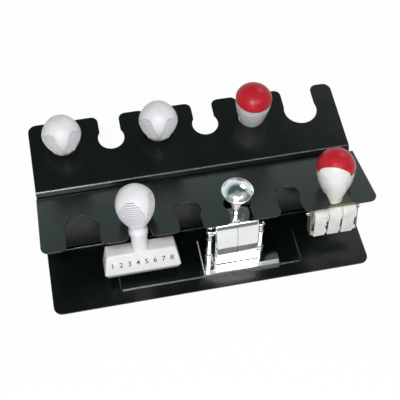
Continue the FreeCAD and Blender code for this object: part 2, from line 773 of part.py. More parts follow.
def numbering_machine():
    """Foot, casing and columns; the knob presses a carriage of number wheels through the foot."""
    plate = ("machine_foot_width", "machine_foot_depth", "machine_foot_thickness")
    foot = centred_box("foot_plate", plate, ("machine_foot_shift", "-machine_foot_lead", "0"))
    opening = ("machine_window_width", "machine_window_depth", "machine_foot_thickness")
    window = centred_box("window", opening, ("0", "0", "0"))
    machine_part("machine_foot", cut("foot_solid", foot, [window]))
    machine_casing()
    columns = []
    for side in (-1, 1):
        start = ("%d * column_spread" % side, "-column_lead", "machine_foot_thickness")
        columns.append(cylinder("column", "column_radius", "column_height", start))
    machine_part("machine_columns", group("column_pair", columns))
    ring = cylinder("ring", "machine_collar_radius", "machine_collar_height", ("0", "0", "casing_top"))
    ring_bore = cylinder("ring_bore", ROD_BORE, "machine_collar_height", ("0", "0", "casing_top"))
    machine_part("machine_collar", cut("collar_solid", ring, [ring_bore]))
    plunger()
    for k in range(NUMBER_WHEELS):
        left = "(%g) * number_wheel_pitch - number_wheel_width / 2" % (k - (NUMBER_WHEELS - 1) / 2)
        start = (left, "0", "number_wheel_rise")
        disc = cylinder("disc", "number_wheel_radius", "number_wheel_width", start, "x")
        bore = cylinder("disc_bore", "number_axle_radius + shaft_gap", "number_wheel_width", start, "x")
        machine_part("number_wheel_%d" % (k + 1), cut("number_wheel_solid", disc, [bore]))
    lever()


def hood(name, wall, low, brow, width):
    """The casing's outer or inner form, seen from the side: a brow in front, a flat top."""
    top = "casing_top - " + wall
    corners = [("-(casing_front - %s)" % wall, low),
               ("-(casing_front - %s)" % wall, "casing_shoulder"),
               ("-(casing_front - casing_slope - %s)" % wall, top),
               ("casing_rear - " + wall, top),
               ("casing_rear - " + wall, low)]
    return padded(name, "YZ_Plane", corners, width, {2: brow, 3: "casing_corner"})


def machine_casing():
    """A hood open below, on two cheeks that stand on the foot, with lugs over the columns."""
    outer = hood("hood", "0", "casing_bottom", "casing_brow", "casing_width")
    inner_width = "casing_width - 2 * casing_wall"
    inner = hood("hood_inside", "casing_wall", "0", "casing_brow - casing_wall", inner_width)
    cheeks = []
    lugs = []
    lug = "(column_spread + column_radius - casing_width / 2 + casing_wall / 2)"
    cheek_height = "casing_bottom - machine_foot_thickness + casing_corner"
    for side in (-1, 1):
        beside = "%d * (casing_width - casing_wall) / 2" % side
        cheeks.append(centred_box("casing_cheek", ("casing_wall", "casing_cheek_depth", cheek_height),
                                  (beside, "0", "machine_foot_thickness")))
        lugs.append(centred_box("lug", (lug, "2 * column_radius", "lug_height"),
                                ("%s + %d * %s / 2" % (beside, side, lug), "-column_lead",
                                 "machine_foot_thickness + column_height")))
    whole = fuse("casing_whole", [outer] + cheeks)
    rod_bore = cylinder("rod_bore", ROD_BORE, "2 * casing_wall", ("0", "0", UNDER_TOP))
    hollow = cut("casing_hollow", whole, [inner, rod_bore])
    machine_part("machine_casing", fuse("casing_solid", [hollow] + lugs))
    bridge = centred_box("bridge", (inner_width, "bridge_depth", "casing_wall"), ("0", "0", BRIDGE_Z))
    bridge_bore = cylinder("bridge_bore", ROD_BORE, "casing_wall", ("0", "0", BRIDGE_Z))
    machine_part("spring_bridge", cut("bridge_solid", bridge, [bridge_bore]))


def plunger():
    """Knob and rod, the carriage under them, the axle of the number wheels and the return spring."""
    shank_low = "(casing_top + machine_collar_height + press_travel + seat_gap)"
    rod_length = "%s - %s + spigot_height" % (shank_low, CARRIAGE_TOP)
    rod = cylinder("rod", "rod_radius", rod_length, ("0", "0", CARRIAGE_TOP))
    stop = cylinder("stop", "spring_radius + spring_wire_radius", "casing_wall", ("0", "0", STOP_Z))
    machine_part("plunger_rod", fuse("plunger_rod_solid", [rod, stop]))
    shank = cone("shank", "shank_tip_radius", "shank_radius", "shank_length", ("0", "0", shank_low))
    neck_z = "(%s + shank_length)" % shank_low
    neck = cylinder("knob_neck", "shank_radius", "machine_knob_neck", ("0", "0", neck_z))
    skirt_z = "(%s + machine_knob_neck)" % neck_z
    skirt = cone("knob_skirt", "shank_radius", "machine_knob_radius", "machine_knob_skirt",
                 ("0", "0", skirt_z))
    dome = spherical_cap("knob_dome", "machine_knob_radius", "machine_knob_height",
                         skirt_z + " + machine_knob_skirt")
    knob = fuse("machine_knob_whole", [shank, neck, skirt, dome])
    bore = cylinder("knob_bore", "rod_radius", "spigot_height", ("0", "0", shank_low))
    machine_part("machine_knob", cut("machine_knob_solid", knob, [bore]))
    low = CARRIAGE_TOP + " - carriage_height"
    outside = ("carriage_width", "carriage_depth", "carriage_height")
    frame = centred_box("carriage_frame", outside, ("0", "0", low))
    inside = ("carriage_width - 2 * carriage_wall", "carriage_depth", "carriage_height - carriage_wall")
    shaft = ("number_axle_radius", "carriage_width", ("-carriage_width / 2", "0", "number_wheel_rise"), "x")
    tools = [centred_box("carriage_inside", inside, ("0", "0", low)), cylinder("carriage_bore", *shaft)]
    machine_part("wheel_carriage", cut("carriage_solid", frame, tools))
    machine_part("number_axle", group("number_axle_rod", [cylinder("wheel_shaft", *shaft)]))
    machine_part("return_spring", group("return_spring_coil", [coil_spring()]))


def coil_spring():
    """The plunger's spring, between the bridge and the rod's stop."""
    clear = "(spring_wire_radius + shaft_gap)"
    low = "(%s + casing_wall + %s)" % (BRIDGE_Z, clear)
    height = "(%s - %s - %s)" % (STOP_Z, clear, low)
    helix = doc.addObject("Part::Helix", "coil")
    bind(helix, "Radius", "spring_radius")
    bind(helix, "Height", height)
    bind(helix, "Pitch", height + " / spring_turns")
    place(helix, "0", "0", low)
    wire = doc.addObject("Part::Circle", "wire")
    bind(wire, "Radius", "spring_wire_radius")
    place(wire, "spring_radius", "0", low, tilt="90")
    doc.recompute()
    sweep = doc.addObject("Part::Sweep", "return_coil")
    sweep.Sections = [wire]
    sweep.Spine = (helix, ["Edge%d" % (k + 1) for k in range(len(helix.Shape.Edges))])
    sweep.Solid = True
    sweep.Frenet = True
    return sweep


def lever():
    """The selector on the machine's left cheek, which sets how often a number repeats."""
    pivot = ("lever_lead", "lever_rise")
    outer = "(-casing_width / 2 - seat_gap - lever_thickness)"
    blade = centred_box("lever_blade", ("lever_thickness", "lever_width", "lever_length"),
                        (outer + " + lever_thickness / 2", *pivot))
    hub = cylinder("lever_hub", "lever_radius", "lever_thickness", (outer, *pivot), "x")
    grip_z = "lever_rise + lever_length - lever_knob_radius"
    grip_start = (outer + " - lever_knob_length", "lever_lead", grip_z)
    grip = cylinder("lever_grip", "lever_knob_radius", "lever_knob_length", grip_start, "x")
    bore = cylinder("lever_bore", "lever_pivot_radius + shaft_gap", "lever_thickness", (outer, *pivot), "x")
    machine_part("selector_lever", cut("lever_solid", fuse("lever_whole", [blade, hub, grip]), [bore]))
    pin_end = "(%s - seat_gap)" % outer
    pin_length = "(lever_thickness + 2 * seat_gap)"
    pin = cylinder("pivot", "lever_pivot_radius", pin_length, (pin_end, *pivot), "x")
    head_start = (pin_end + " - lever_pin_head", *pivot)
    head = cylinder("pivot_head", "lever_knob_radius", "lever_pin_head", head_start, "x")
    machine_part("lever_pin", fuse("lever_pin_solid", [pin, head]))


rack()
knob_stamp("front_stamp", seat("front", 1), "block_length")
knob_stamp("rear_left_stamp", seat("rear", 0), "rear_block_length")
knob_stamp("rear_middle_stamp", seat("rear", 2), "rear_block_length")
red_stamp("red_stamp", seat("rear", 4))
date_stamp("date_stamp", seat("front", 5))
numbering_machine()
doc.recompute()

failed = [item.Name for item in doc.Objects if "Invalid" in item.State or "Error" in item.State]
for item in SUBPARTS:
    if item.Shape.isNull() or not item.Shape.isValid() or not item.Shape.Solids:
        failed.append(item.Label)
if failed:
    raise RuntimeError("failed: " + ", ".join(failed))
os.makedirs("parts", exist_ok=True)
for item in SUBPARTS:
    item.Shape.exportStep("parts/%s.step" % item.Label)
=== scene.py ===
import json
import math

import bmesh
import bpy
from mathutils import Matrix, Vector


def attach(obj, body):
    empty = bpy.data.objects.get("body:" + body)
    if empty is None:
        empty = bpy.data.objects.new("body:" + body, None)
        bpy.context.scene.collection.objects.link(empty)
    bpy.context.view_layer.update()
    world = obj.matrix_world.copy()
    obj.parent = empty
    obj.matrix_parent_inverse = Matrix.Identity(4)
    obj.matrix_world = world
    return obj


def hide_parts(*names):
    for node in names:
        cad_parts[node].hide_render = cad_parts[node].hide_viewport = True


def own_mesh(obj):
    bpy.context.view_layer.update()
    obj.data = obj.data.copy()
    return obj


# The looks of the desk stamp rack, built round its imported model, in the model's own frame.
# Sizes and places are in millimetres, and MM turns them into metres. The studio is in metres.

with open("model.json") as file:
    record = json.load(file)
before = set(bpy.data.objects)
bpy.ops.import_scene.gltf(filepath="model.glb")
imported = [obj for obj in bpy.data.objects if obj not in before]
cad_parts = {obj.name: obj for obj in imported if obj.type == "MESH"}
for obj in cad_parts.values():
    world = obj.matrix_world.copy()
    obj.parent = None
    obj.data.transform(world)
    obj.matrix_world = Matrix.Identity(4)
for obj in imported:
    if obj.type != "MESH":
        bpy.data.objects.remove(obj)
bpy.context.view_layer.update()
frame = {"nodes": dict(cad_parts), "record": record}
NODES = frame["nodes"]
MM = 0.001

# The photograph's camera, worked out from the rack's corners
CAMERA_PLACE = (-101.8, -480.8, 735.3)
CAMERA_AZIMUTH = math.radians(12.08)
CAMERA_ELEVATION = math.radians(55.28)
CAMERA_ROLL = math.radians(0.92)
CAMERA_LENS = 80.43
SENSOR = 36.0

# The studio in metres and watts; a lamp is its name, place, target, size and power
LAMPS = (
    ("key", (-0.2, -0.5, 0.92), (0.0, 0.0, 0.05), (0.24, 0.13), 5.8),
    ("low", (-0.24, -0.84, 0.66), (-0.05, 0.0, 0.05), (0.34, 0.3), 2.7),
    ("rear", (0.9, 0.8, 1.0), (0.0, 0.0, 0.05), (0.6, 0.6), 3.0),
    ("strip", (0.24, -0.56, 0.86), (0.0, 0.0, 0.05), (0.5, 0.06), 2.2),
)
FLOOR_REACH = 6.0
FLOOR_TONE = 0.85
FLOOR_GLOW = 0.96
ROOM_FILL = 0.4

# The room's tones behind the rack and in front of it, from 0 at the horizon to 1 overhead
TONES_BEHIND = (
    (0.0, (0.95, 0.95, 0.95)), (0.42, (0.6, 0.8, 0.76)), (0.72, (0.08, 0.11, 0.105)),
    (0.96, (0.08, 0.1, 0.1)), (1.0, (0.3, 0.32, 0.32)),
)
TONES_AHEAD = (
    (0.0, (0.9, 0.9, 0.9)), (0.06, (0.2, 0.22, 0.22)), (0.45, (0.2, 0.22, 0.22)),
    (0.8, (0.62, 0.66, 0.66)), (1.0, (0.3, 0.32, 0.32)),
)
AHEAD_TO_BEHIND = ((0.45, (0, 0, 0)), (0.55, (1, 1, 1)))

# Every surface: the part of its wide noise that changes its colour, and how deep light goes in
CLOUD_RANGE = (0.3, 0.7)
SUBSURFACE_DEPTH = 2.0

# Angles in degrees from which an edge is bevelled or stays sharp
BEVEL_FROM = 50
SHEET_SHARP = 50
ROUND_SHARP = 60
HOOD_SHARP = 30
MACHINE_KNOB_SHARP = 40

# Steps in the sheets' corners, keyholes and bends, and the width of their bevel
CORNER_STEPS = 8
HOLE_STEPS = 40
BEND_STEPS = 8
SHEET_EDGE = 0.35

# The rack's sheets
SHEET = 1.5
RACK_WIDTH = 300.0
FRONT_WIDTH = 303.3
RACK_SHIFT = -1.2
FOOT_HEIGHT = 2.0
BASE_FRONT = 68.1
BASE_REAR = 84.0
CORNER = 8.0
WALL_LEAN = math.radians(25.9)
WALL_LENGTH = 65.3
REAR_LENGTH = 74.6
REAR_TILT = math.radians(5.9)
FRONT_LENGTH = 76.0
FRONT_TILT = math.radians(14.6)
FRONT_DROP = 5.0
FRONT_FLANGE = 14.0
FOOT_FLANGE = 16.0
REAR_BEND = 3.4
FRONT_BEND = 2.7
FOLD = 2.0

# The pressed panel; its edge from the foot up is how far out, and what share of its rise
PANEL = (172.0, 41.0)
PANEL_FRONT = 13.9
PANEL_RISE = 1.0
PANEL_CORNER = 2.0
PANEL_EDGE = ((1.35, 0.0), (1.1, 0.03), (0.85, 0.14), (0.14, 0.86), (-0.1, 0.97), (-0.35, 1.0))

# The bead along the wall's foot
BEAD_HALF = 149.0
BEAD_RADIUS = 1.1
BEAD_SHIFT = 0.1
BEAD_POINTS = 16

# The keyholes of a row, counted from its wide one
HOLE_COUNT = 6
END_MARGIN = 31.5
WIDE_MARGIN = 36.0
HOLE_INSET = 26.0
HOLE_RADIUS = 12.5
HOLE_NECK = 20.3
WIDE_RADIUS = 16.0
WIDE_NECK = 30.4
TAB_CORNER = 6.5
PITCH = (RACK_WIDTH - WIDE_MARGIN - END_MARGIN - WIDE_RADIUS + HOLE_RADIUS) / (HOLE_COUNT - 1)

# The rack's side view from the wall's foot: y back, z up
TOP_BEND = Vector((math.sin(WALL_LEAN), math.cos(WALL_LEAN))) * WALL_LENGTH
REAR_EDGE = TOP_BEND + Vector((math.cos(REAR_TILT), math.sin(REAR_TILT))) * REAR_LENGTH
JOIN = Vector((math.sin(WALL_LEAN), math.cos(WALL_LEAN))) * (WALL_LENGTH - FRONT_DROP)
FRONT_EDGE = JOIN + Vector((-math.cos(FRONT_TILT), math.sin(FRONT_TILT))) * FRONT_LENGTH
FLANGE_END = JOIN * (1 - FRONT_FLANGE / (WALL_LENGTH - FRONT_DROP))
WALL_Y = (BASE_FRONT - REAR_EDGE.x - SHEET * math.sin(REAR_TILT)) / 2
BASE_TOP = FOOT_HEIGHT + SHEET
FOOT = Vector((WALL_Y, BASE_TOP))

# Knob stamps; a ring is its drop from the widest ring down the stamp's axis, and its radius
SEAT_GAP = 0.3
BALL = 18.5
KNOB_RINGS = ((4.0, 18.06), (15.0, 13.8), (24.5, 7.2))
KNOB_LOW_SWELL = 0.25
KNOB_LEVELS = 200
KNOB_SEGMENTS = 240

# The collar; its edges are how far out and how far up from its radius and its ends
COLLAR_DROP = 28.6
COLLAR_HEIGHT = 5.8
COLLAR_RADIUS = 8.9
COLLAR_LOW_EDGE = ((-0.6, 0.0), (-0.15, 0.2), (0.0, 0.7))
COLLAR_HIGH_EDGE = ((0.0, -1.2), (-0.2, -0.5), (-0.7, -0.1))
COLLAR_TO_NECK = ((0.5, 0.3), (0.1, 0.9))
COLLAR_OVERLAP = 0.3

# The knob's finger recesses: top over the widest ring, foot under it; angles in degrees
RECESS_TOP = 15.0
RECESS_FOOT = 24.0
RECESS_HALF = 43.5
RECESS_CURVE = 0.2
RECESS_ARCH = 0.42
RECESS_FULLNESS = 0.6
RECESS_FADE = 0.2
RIB_PITCH = 1.9
RIB_DEPTH = 0.3
RIB_LEAN = 0.03
RIB_MARGIN = 3.0
# Which faces between the ribs get a darker grey as painted shade: margin, span and level
GROOVE_SHADE_MARGIN = 2.5
GROOVE_SHADE_SPAN = (0.03, 0.9)
GROOVE_SHADE_LEVEL = -0.2

# A stamp's block and stem; the flare is how far out and how high over the block
BLOCK_DROP = 51.4
FRONT_BLOCK = 71.5
REAR_BLOCK = 56.0
BLOCK_SLOPE = 3.8
BLOCK_DEPTH = 22.8
BLOCK_TOP_DEPTH = 15.6
BLOCK_HEIGHT = 21.0
BLOCK_CORNER = 1.6
BLOCK_EDGE = 1.3
BLOCK_EDGE_STEPS = 4
SMALLEST_CORNER = 0.05
STEM_RADIUS = 7.45
STEM_FLARE = ((1.4, -0.3), (0.5, 0.25), (0.1, 0.9), (0.0, 2.0))
STEM_OVERLAP = 0.2

# The label on a block, with its plain numbers
LABEL_MARGIN = 5.7
LABEL_HEIGHT = 11.0
LABEL_RISE = 5.0
LABEL_THICKNESS = 0.4
LABEL_SINK = 0.05
LABEL_EDGE = 0.1
LABEL_CORNER = 0.8
DIGIT_HEIGHT = 5.2
DIGIT_DEPTH = 0.08
DIGIT_SINK = 0.02
DIGIT_WEIGHT = 0.06
DIGIT_SPACING = 7.6
DIGIT_MARGIN = 2.5
FEWEST_DIGITS = 4
FONT_SCALE = 1.4

# Grips with a domed cap
RED_RINGS = ((0.0, 17.7), (16.0, 15.6), (44.0, 8.8))
RED_DOME = 9.5
RED_BORDER = 0.6
RED_BLOCK_GAP = 6.0
DATE_RINGS = ((0.0, 18.1), (15.0, 15.5), (37.0, 6.9))
DATE_DOME = 15.0
RIM_RISE = 3.0
RIM_INSET = 0.5
GRIP_EASE = 3.0
GRIP_LEVELS = 110
GRIP_SEGMENTS = 112
GRIP_TOP_GAP = 0.6
GRIP_FOOT_EDGE = 0.4
CAP_GAP = 0.45
CAP_GAP_DEPTH = 6.0
CAP_GAP_EASE = 3.0
CAP_LEVELS = 40
CAP_SEGMENTS = 144
CAP_LIP = 0.25
CAP_WALL = 0.6
CAP_CROWN = 0.5

# The date stamp's arches in its cap's border, and the ring at its grip's foot
ARCH_TURN = math.radians(24.5)
ARCH_HALF = math.radians(54)
ARCH_RISE = 11.0
ARCH_FOOT = -0.5
DATE_FOOT = ((7.9, -0.2), (8.0, 0.4), (7.6, 1.0), (6.9, 1.8), (6.5, 3.2))

# The date stamp's printing bands and the blocks in relief on them
AXLE_Z = -27.56
BAND_OUT = 10.2
SHOE_TOP = -51.06
SHOE_OUT = 7.2
COLUMN_COUNT = 3
COLUMN_PITCH = 13.4
COLUMN_SHIFT = 1.2
RELIEF_START = 4.0
RELIEF_END = 38.0
RELIEF_PITCH = 2.7
RELIEF_WIDTH = 8.2
RELIEF_SHARES = (0.75, 0.875, 1.0)
RELIEF_GAP = 0.6
RELIEF_HEIGHT = 1.7
RELIEF_RISE = 0.45
RELIEF_SINK = 0.1
RELIEF_TAPER = 0.12

# The numbering machine; heights are over the panel that it stands on
MACHINE_HOLE = 3
MACHINE_OFFSET = -3.0
MACHINE_SETBACK = 38.1
CASING_HALF = 20.0
CASING_WALL = 1.5
CASING_CORNER = 1.6
CASING_INNER_CORNER = 0.7
CASING_LOW = 4.5
CASING_TOP = 57.0
CASING_LEVELS = (CASING_LOW, 5.0, 7.2, 7.7, 8.0, 9.0, 20.0, 29.0, 30.0, 31.0, 37.0, 43.0)
SKIRT_TOP = 8.0
SKIRT_OUT = 16.0
FRONT_OUT = 15.7
LEAN_START = 30.0
LEAN = 0.1
BROW_START = 44.0
BROW_OUT = 14.3
BROW_LEAN = 0.28
BROW_ROUND = 4.0
BROW_STEPS = 24
BACK_OUT = 14.0
BACK_ROUND = 7.0
SEAM_ENDS = (5.0, 55.0)
SEAM_LEVELS = 40
SEAM_HALF = 0.2
SEAM_OUT = 0.04
SEAM_DEPTH = 0.2

# The machine's spring
COIL_LOW = 41.6
COIL_HIGH = 54.2
COIL_RADIUS = 4.2
COIL_TURNS = 5
COIL_STEPS = 24
WIRE = 0.5
WIRE_POINTS = 10

# The machine's turned pieces, as radius and height; the plunger's heights are from its shank's foot
ROD_PROFILE = (
    (0, 3), (3.6, 3), (3.8, 3.3), (3.8, 5.4), (3.5, 5.7), (3.0, 5.8), (3.0, 6.6), (2.4, 6.8),
    (2.4, 13), (3.1, 13.2), (3.1, 14.6), (2.4, 14.8), (2.4, 30), (2.9, 30.2), (2.9, 32.6),
    (2.4, 32.8), (2.4, 40.4), (2.9, 40.6), (3.0, 41), (3.0, 43.6), (2.4, 44.4), (1.4, 45.0),
    (0, 45.1),
)
FLANGE_PROFILE = (
    (0, 52.8), (9.3, 52.8), (9.5, 53.2), (9.5, 54.6), (9.2, 55.0), (8.2, 55.2), (8.0, 55.8),
    (8.0, 57.4), (7.7, 57.8), (7.0, 58.0), (6.9, 58.6), (7.5, 58.8), (7.5, 60.6), (7.1, 61.0),
    (3.4, 61.0), (3.2, 60.0), (0, 60.0),
)
SHANK_PROFILE = (
    (0, 0), (2.4, 0), (2.8, 0.4), (3.6, 3.5), (4.8, 8.5), (6.4, 14.5), (7.3, 18.0),
    (7.6, 18.8), (7.2, 19.4), (0, 19.5),
)
KNOB_PROFILE = (
    (0, 19.2), (6.8, 19.3), (6.9, 20.4), (7.2, 21.4), (8.6, 22.3), (12.4, 24.3), (13.7, 25.2),
    (14.1, 26.2), (14.15, 26.8),
)
ROD_SEGMENTS = 40
ROD_PLACE = (24.6, -4.0)
EAR_OUT = 21.8
EAR_SIZE = (4.4, 2.3)
EAR_HEIGHTS = (41.2, 44.6)
EAR_CORNER = 2.2
EAR_EDGE = 0.5
EAR_EDGE_STEPS = 3
FLANGE_TOP = 61.0
STROKE = 8.0
KNOB_DOME = 7.0
KNOB_DOME_RADIUS = 14.2
KNOB_DOME_LOW = 26.0
KNOB_DOME_STEPS = 24
KNOB_DOME_FIRST = 2
MACHINE_KNOB_SEGMENTS = 96

# The fine bars on the machine's foot: half sizes, top heights and places
COMB_LOW = 2.9
COMB_CORNER = 0.2
COMB_TAPER = 0.1
FRONT_BAR = (36.2, 0.5, 3.3, (3.5, -21.4))
LEFT_BAR = (0.45, 18.5, 3.5, (-32.3, -5.5))
TOOTH = (0.42, 1.4, 3.9)
TOOTH_START = (-28.0, -23.4)
TOOTH_PITCH = 1.3
TOOTH_COUNT = 52


def camera():
    """The photograph's view: from the front left, high above, turned by a slight roll."""
    level = math.cos(CAMERA_ELEVATION)
    ahead = Vector((math.sin(CAMERA_AZIMUTH) * level, math.cos(CAMERA_AZIMUTH) * level,
                    -math.sin(CAMERA_ELEVATION)))
    right = Vector((math.cos(CAMERA_AZIMUTH), -math.sin(CAMERA_AZIMUTH), 0))
    up = right.cross(ahead)
    turned_right = math.cos(CAMERA_ROLL) * right + math.sin(CAMERA_ROLL) * up
    turned_up = math.cos(CAMERA_ROLL) * up - math.sin(CAMERA_ROLL) * right
    data = bpy.data.cameras.new("view")
    data.lens = CAMERA_LENS
    data.sensor_width = SENSOR
    data.clip_start = 0.01
    data.clip_end = 50
    eye = bpy.data.objects.new("view", data)
    columns = Matrix((turned_right, turned_up, -ahead)).transposed()
    eye.matrix_world = Matrix.Translation(Vector(CAMERA_PLACE) * MM) @ columns.to_4x4()
    bpy.context.scene.collection.objects.link(eye)
    bpy.context.scene.camera = eye


def node(tree, kind, **values):
    """A new node; values are its own properties, or its sockets' values with _ for a space."""
    made = tree.nodes.new(kind)
    for name, value in values.items():
        if hasattr(made, name):
            setattr(made, name, value)
        else:
            made.inputs[name.replace("_", " ")].default_value = value
    return made


def ramp(tree, source, stops):
    """A colour ramp over a value, with stops of position and colour."""
    made = node(tree, "ShaderNodeValToRGB")
    tree.links.new(source, made.inputs["Fac"])
    elements = made.color_ramp.elements
    while len(elements) < len(stops):
        elements.new(1.0)
    for element, (position, colour) in zip(elements, stops):
        element.position = position
        element.color = (*colour, 1)
    return made.outputs["Color"]


def room():
    """A world that is pale low down behind the rack, and pale high up in front of it.

    Matt surfaces get only a share of its light.
    """
    world = bpy.data.worlds.new("room")
    bpy.context.scene.world = world
    world.use_nodes = True
    tree = world.node_tree
    tree.nodes.clear()
    place = node(tree, "ShaderNodeTexCoord")
    split = node(tree, "ShaderNodeSeparateXYZ")
    tree.links.new(place.outputs["Generated"], split.inputs[0])
    behind = ramp(tree, split.outputs["Z"], TONES_BEHIND)
    ahead = ramp(tree, split.outputs["Z"], TONES_AHEAD)
    halved = node(tree, "ShaderNodeMath", operation="MULTIPLY_ADD")
    halved.inputs[1].default_value = 0.5
    halved.inputs[2].default_value = 0.5
    tree.links.new(split.outputs["Y"], halved.inputs[0])
    side = ramp(tree, halved.outputs[0], AHEAD_TO_BEHIND)
    mix = node(tree, "ShaderNodeMixRGB")
    tree.links.new(side, mix.inputs["Fac"])
    tree.links.new(ahead, mix.inputs["Color1"])
    tree.links.new(behind, mix.inputs["Color2"])
    path = node(tree, "ShaderNodeLightPath")
    strength = node(tree, "ShaderNodeMapRange", To_Min=1.0, To_Max=ROOM_FILL)
    tree.links.new(path.outputs["Is Diffuse Ray"], strength.inputs["Value"])
    back = node(tree, "ShaderNodeBackground")
    tree.links.new(strength.outputs["Result"], back.inputs["Strength"])
    tree.links.new(mix.outputs["Color"], back.inputs["Color"])
    out = node(tree, "ShaderNodeOutputWorld")
    tree.links.new(back.outputs["Background"], out.inputs["Surface"])


def floor_material():
    """Pale matt paper that looks nearly white to the camera and in mirrors; its shadow is kept."""
    paper = bpy.data.materials.new("floor_paper")
    paper.use_nodes = True
    tree = paper.node_tree
    tree.nodes.clear()
    path = node(tree, "ShaderNodeLightPath")
    seen = path.outputs["Is Camera Ray"]
    for kind in ("Is Glossy Ray", "Is Transmission Ray"):
        either = node(tree, "ShaderNodeMath", operation="MAXIMUM")
        tree.links.new(seen, either.inputs[0])
        tree.links.new(path.outputs[kind], either.inputs[1])
        seen = either.outputs[0]
    share = node(tree, "ShaderNodeMath", operation="MULTIPLY")
    share.inputs[1].default_value = FLOOR_GLOW
    tree.links.new(seen, share.inputs[0])
    matt = node(tree, "ShaderNodeBsdfDiffuse", Color=(FLOOR_TONE, FLOOR_TONE, FLOOR_TONE, 1))
    glow = node(tree, "ShaderNodeEmission", Strength=1.0)
    mix = node(tree, "ShaderNodeMixShader")
    tree.links.new(share.outputs[0], mix.inputs["Fac"])
    tree.links.new(matt.outputs[0], mix.inputs[1])
    tree.links.new(glow.outputs[0], mix.inputs[2])
    out = node(tree, "ShaderNodeOutputMaterial")
    tree.links.new(mix.outputs[0], out.inputs["Surface"])
    return paper


def floor():
    """A wide pale sheet under the rack."""
    mesh = bpy.data.meshes.new("floor")
    reach = FLOOR_REACH
    corners = [(-reach, -reach, 0), (reach, -reach, 0), (reach, reach, 0), (-reach, reach, 0)]
    mesh.from_pydata(corners, [], [(0, 1, 2, 3)])
    sheet = bpy.data.objects.new("floor", mesh)
    bpy.context.scene.collection.objects.link(sheet)
    sheet.data.materials.append(floor_material())


def lamp(name, place, target, size, power):
    """A rectangular lamp that faces its target."""
    data = bpy.data.lights.new(name, "AREA")
    data.shape = "RECTANGLE"
    data.size, data.size_y = size
    data.energy = power
    light = bpy.data.objects.new(name, data)
    light.location = place
    light.rotation_mode = "QUATERNION"
    light.rotation_quaternion = (Vector(target) - Vector(place)).to_track_quat("-Z", "Y")
    bpy.context.scene.collection.objects.link(light)


def studio():
    """The room, the floor and the lamps."""
    bpy.context.scene.view_settings.view_transform = "Standard"
    room()
    floor()
    for settings in LAMPS:
        lamp(*settings)


def surface(name, colour, roughness, metallic=0.0, grain=(1500, 0.02), cloud=(45, 0.06),
            gloss=0.5, brushed=None, subsurface=0.0):
    """A surface with a fine grain, and with roughness and colour that vary a little over it.

    Grain is a noise's scale and its depth in millimetres, which brushed stretches. Cloud is the
    scale of a wider noise and how much it changes colour and roughness.
    """
    made = bpy.data.materials.new(name)
    made.use_nodes = True
    tree = made.node_tree
    shader = tree.nodes["Principled BSDF"]
    shader.inputs["Metallic"].default_value = metallic
    shader.inputs["Specular IOR Level"].default_value = gloss
    if subsurface:
        shader.inputs["Subsurface Weight"].default_value = subsurface
        shader.inputs["Subsurface Scale"].default_value = SUBSURFACE_DEPTH * MM
    place = node(tree, "ShaderNodeTexCoord")
    spot = place.outputs["Object"]
    wide = node(tree, "ShaderNodeTexNoise", Scale=cloud[0], Detail=4.0)
    tree.links.new(spot, wide.inputs["Vector"])
    darker = [part * (1 - cloud[1]) for part in colour]
    paler = [part * (1 + cloud[1]) for part in colour]
    tone = ramp(tree, wide.outputs["Fac"], tuple(zip(CLOUD_RANGE, (darker, paler))))
    tree.links.new(tone, shader.inputs["Base Color"])
    rough = node(tree, "ShaderNodeMapRange", To_Min=roughness * (1 - 2 * cloud[1]),
                 To_Max=roughness * (1 + 2 * cloud[1]))
    tree.links.new(wide.outputs["Fac"], rough.inputs["Value"])
    tree.links.new(rough.outputs["Result"], shader.inputs["Roughness"])
    if brushed:
        stretch = node(tree, "ShaderNodeMapping", Scale=brushed)
        tree.links.new(spot, stretch.inputs["Vector"])
        spot = stretch.outputs["Vector"]
    fine = node(tree, "ShaderNodeTexNoise", Scale=grain[0], Detail=3.0)
    tree.links.new(spot, fine.inputs["Vector"])
    bump = node(tree, "ShaderNodeBump", Strength=1.0, Distance=grain[1] * MM)
    tree.links.new(fine.outputs["Fac"], bump.inputs["Height"])
    tree.links.new(bump.outputs["Normal"], shader.inputs["Normal"])
    return made


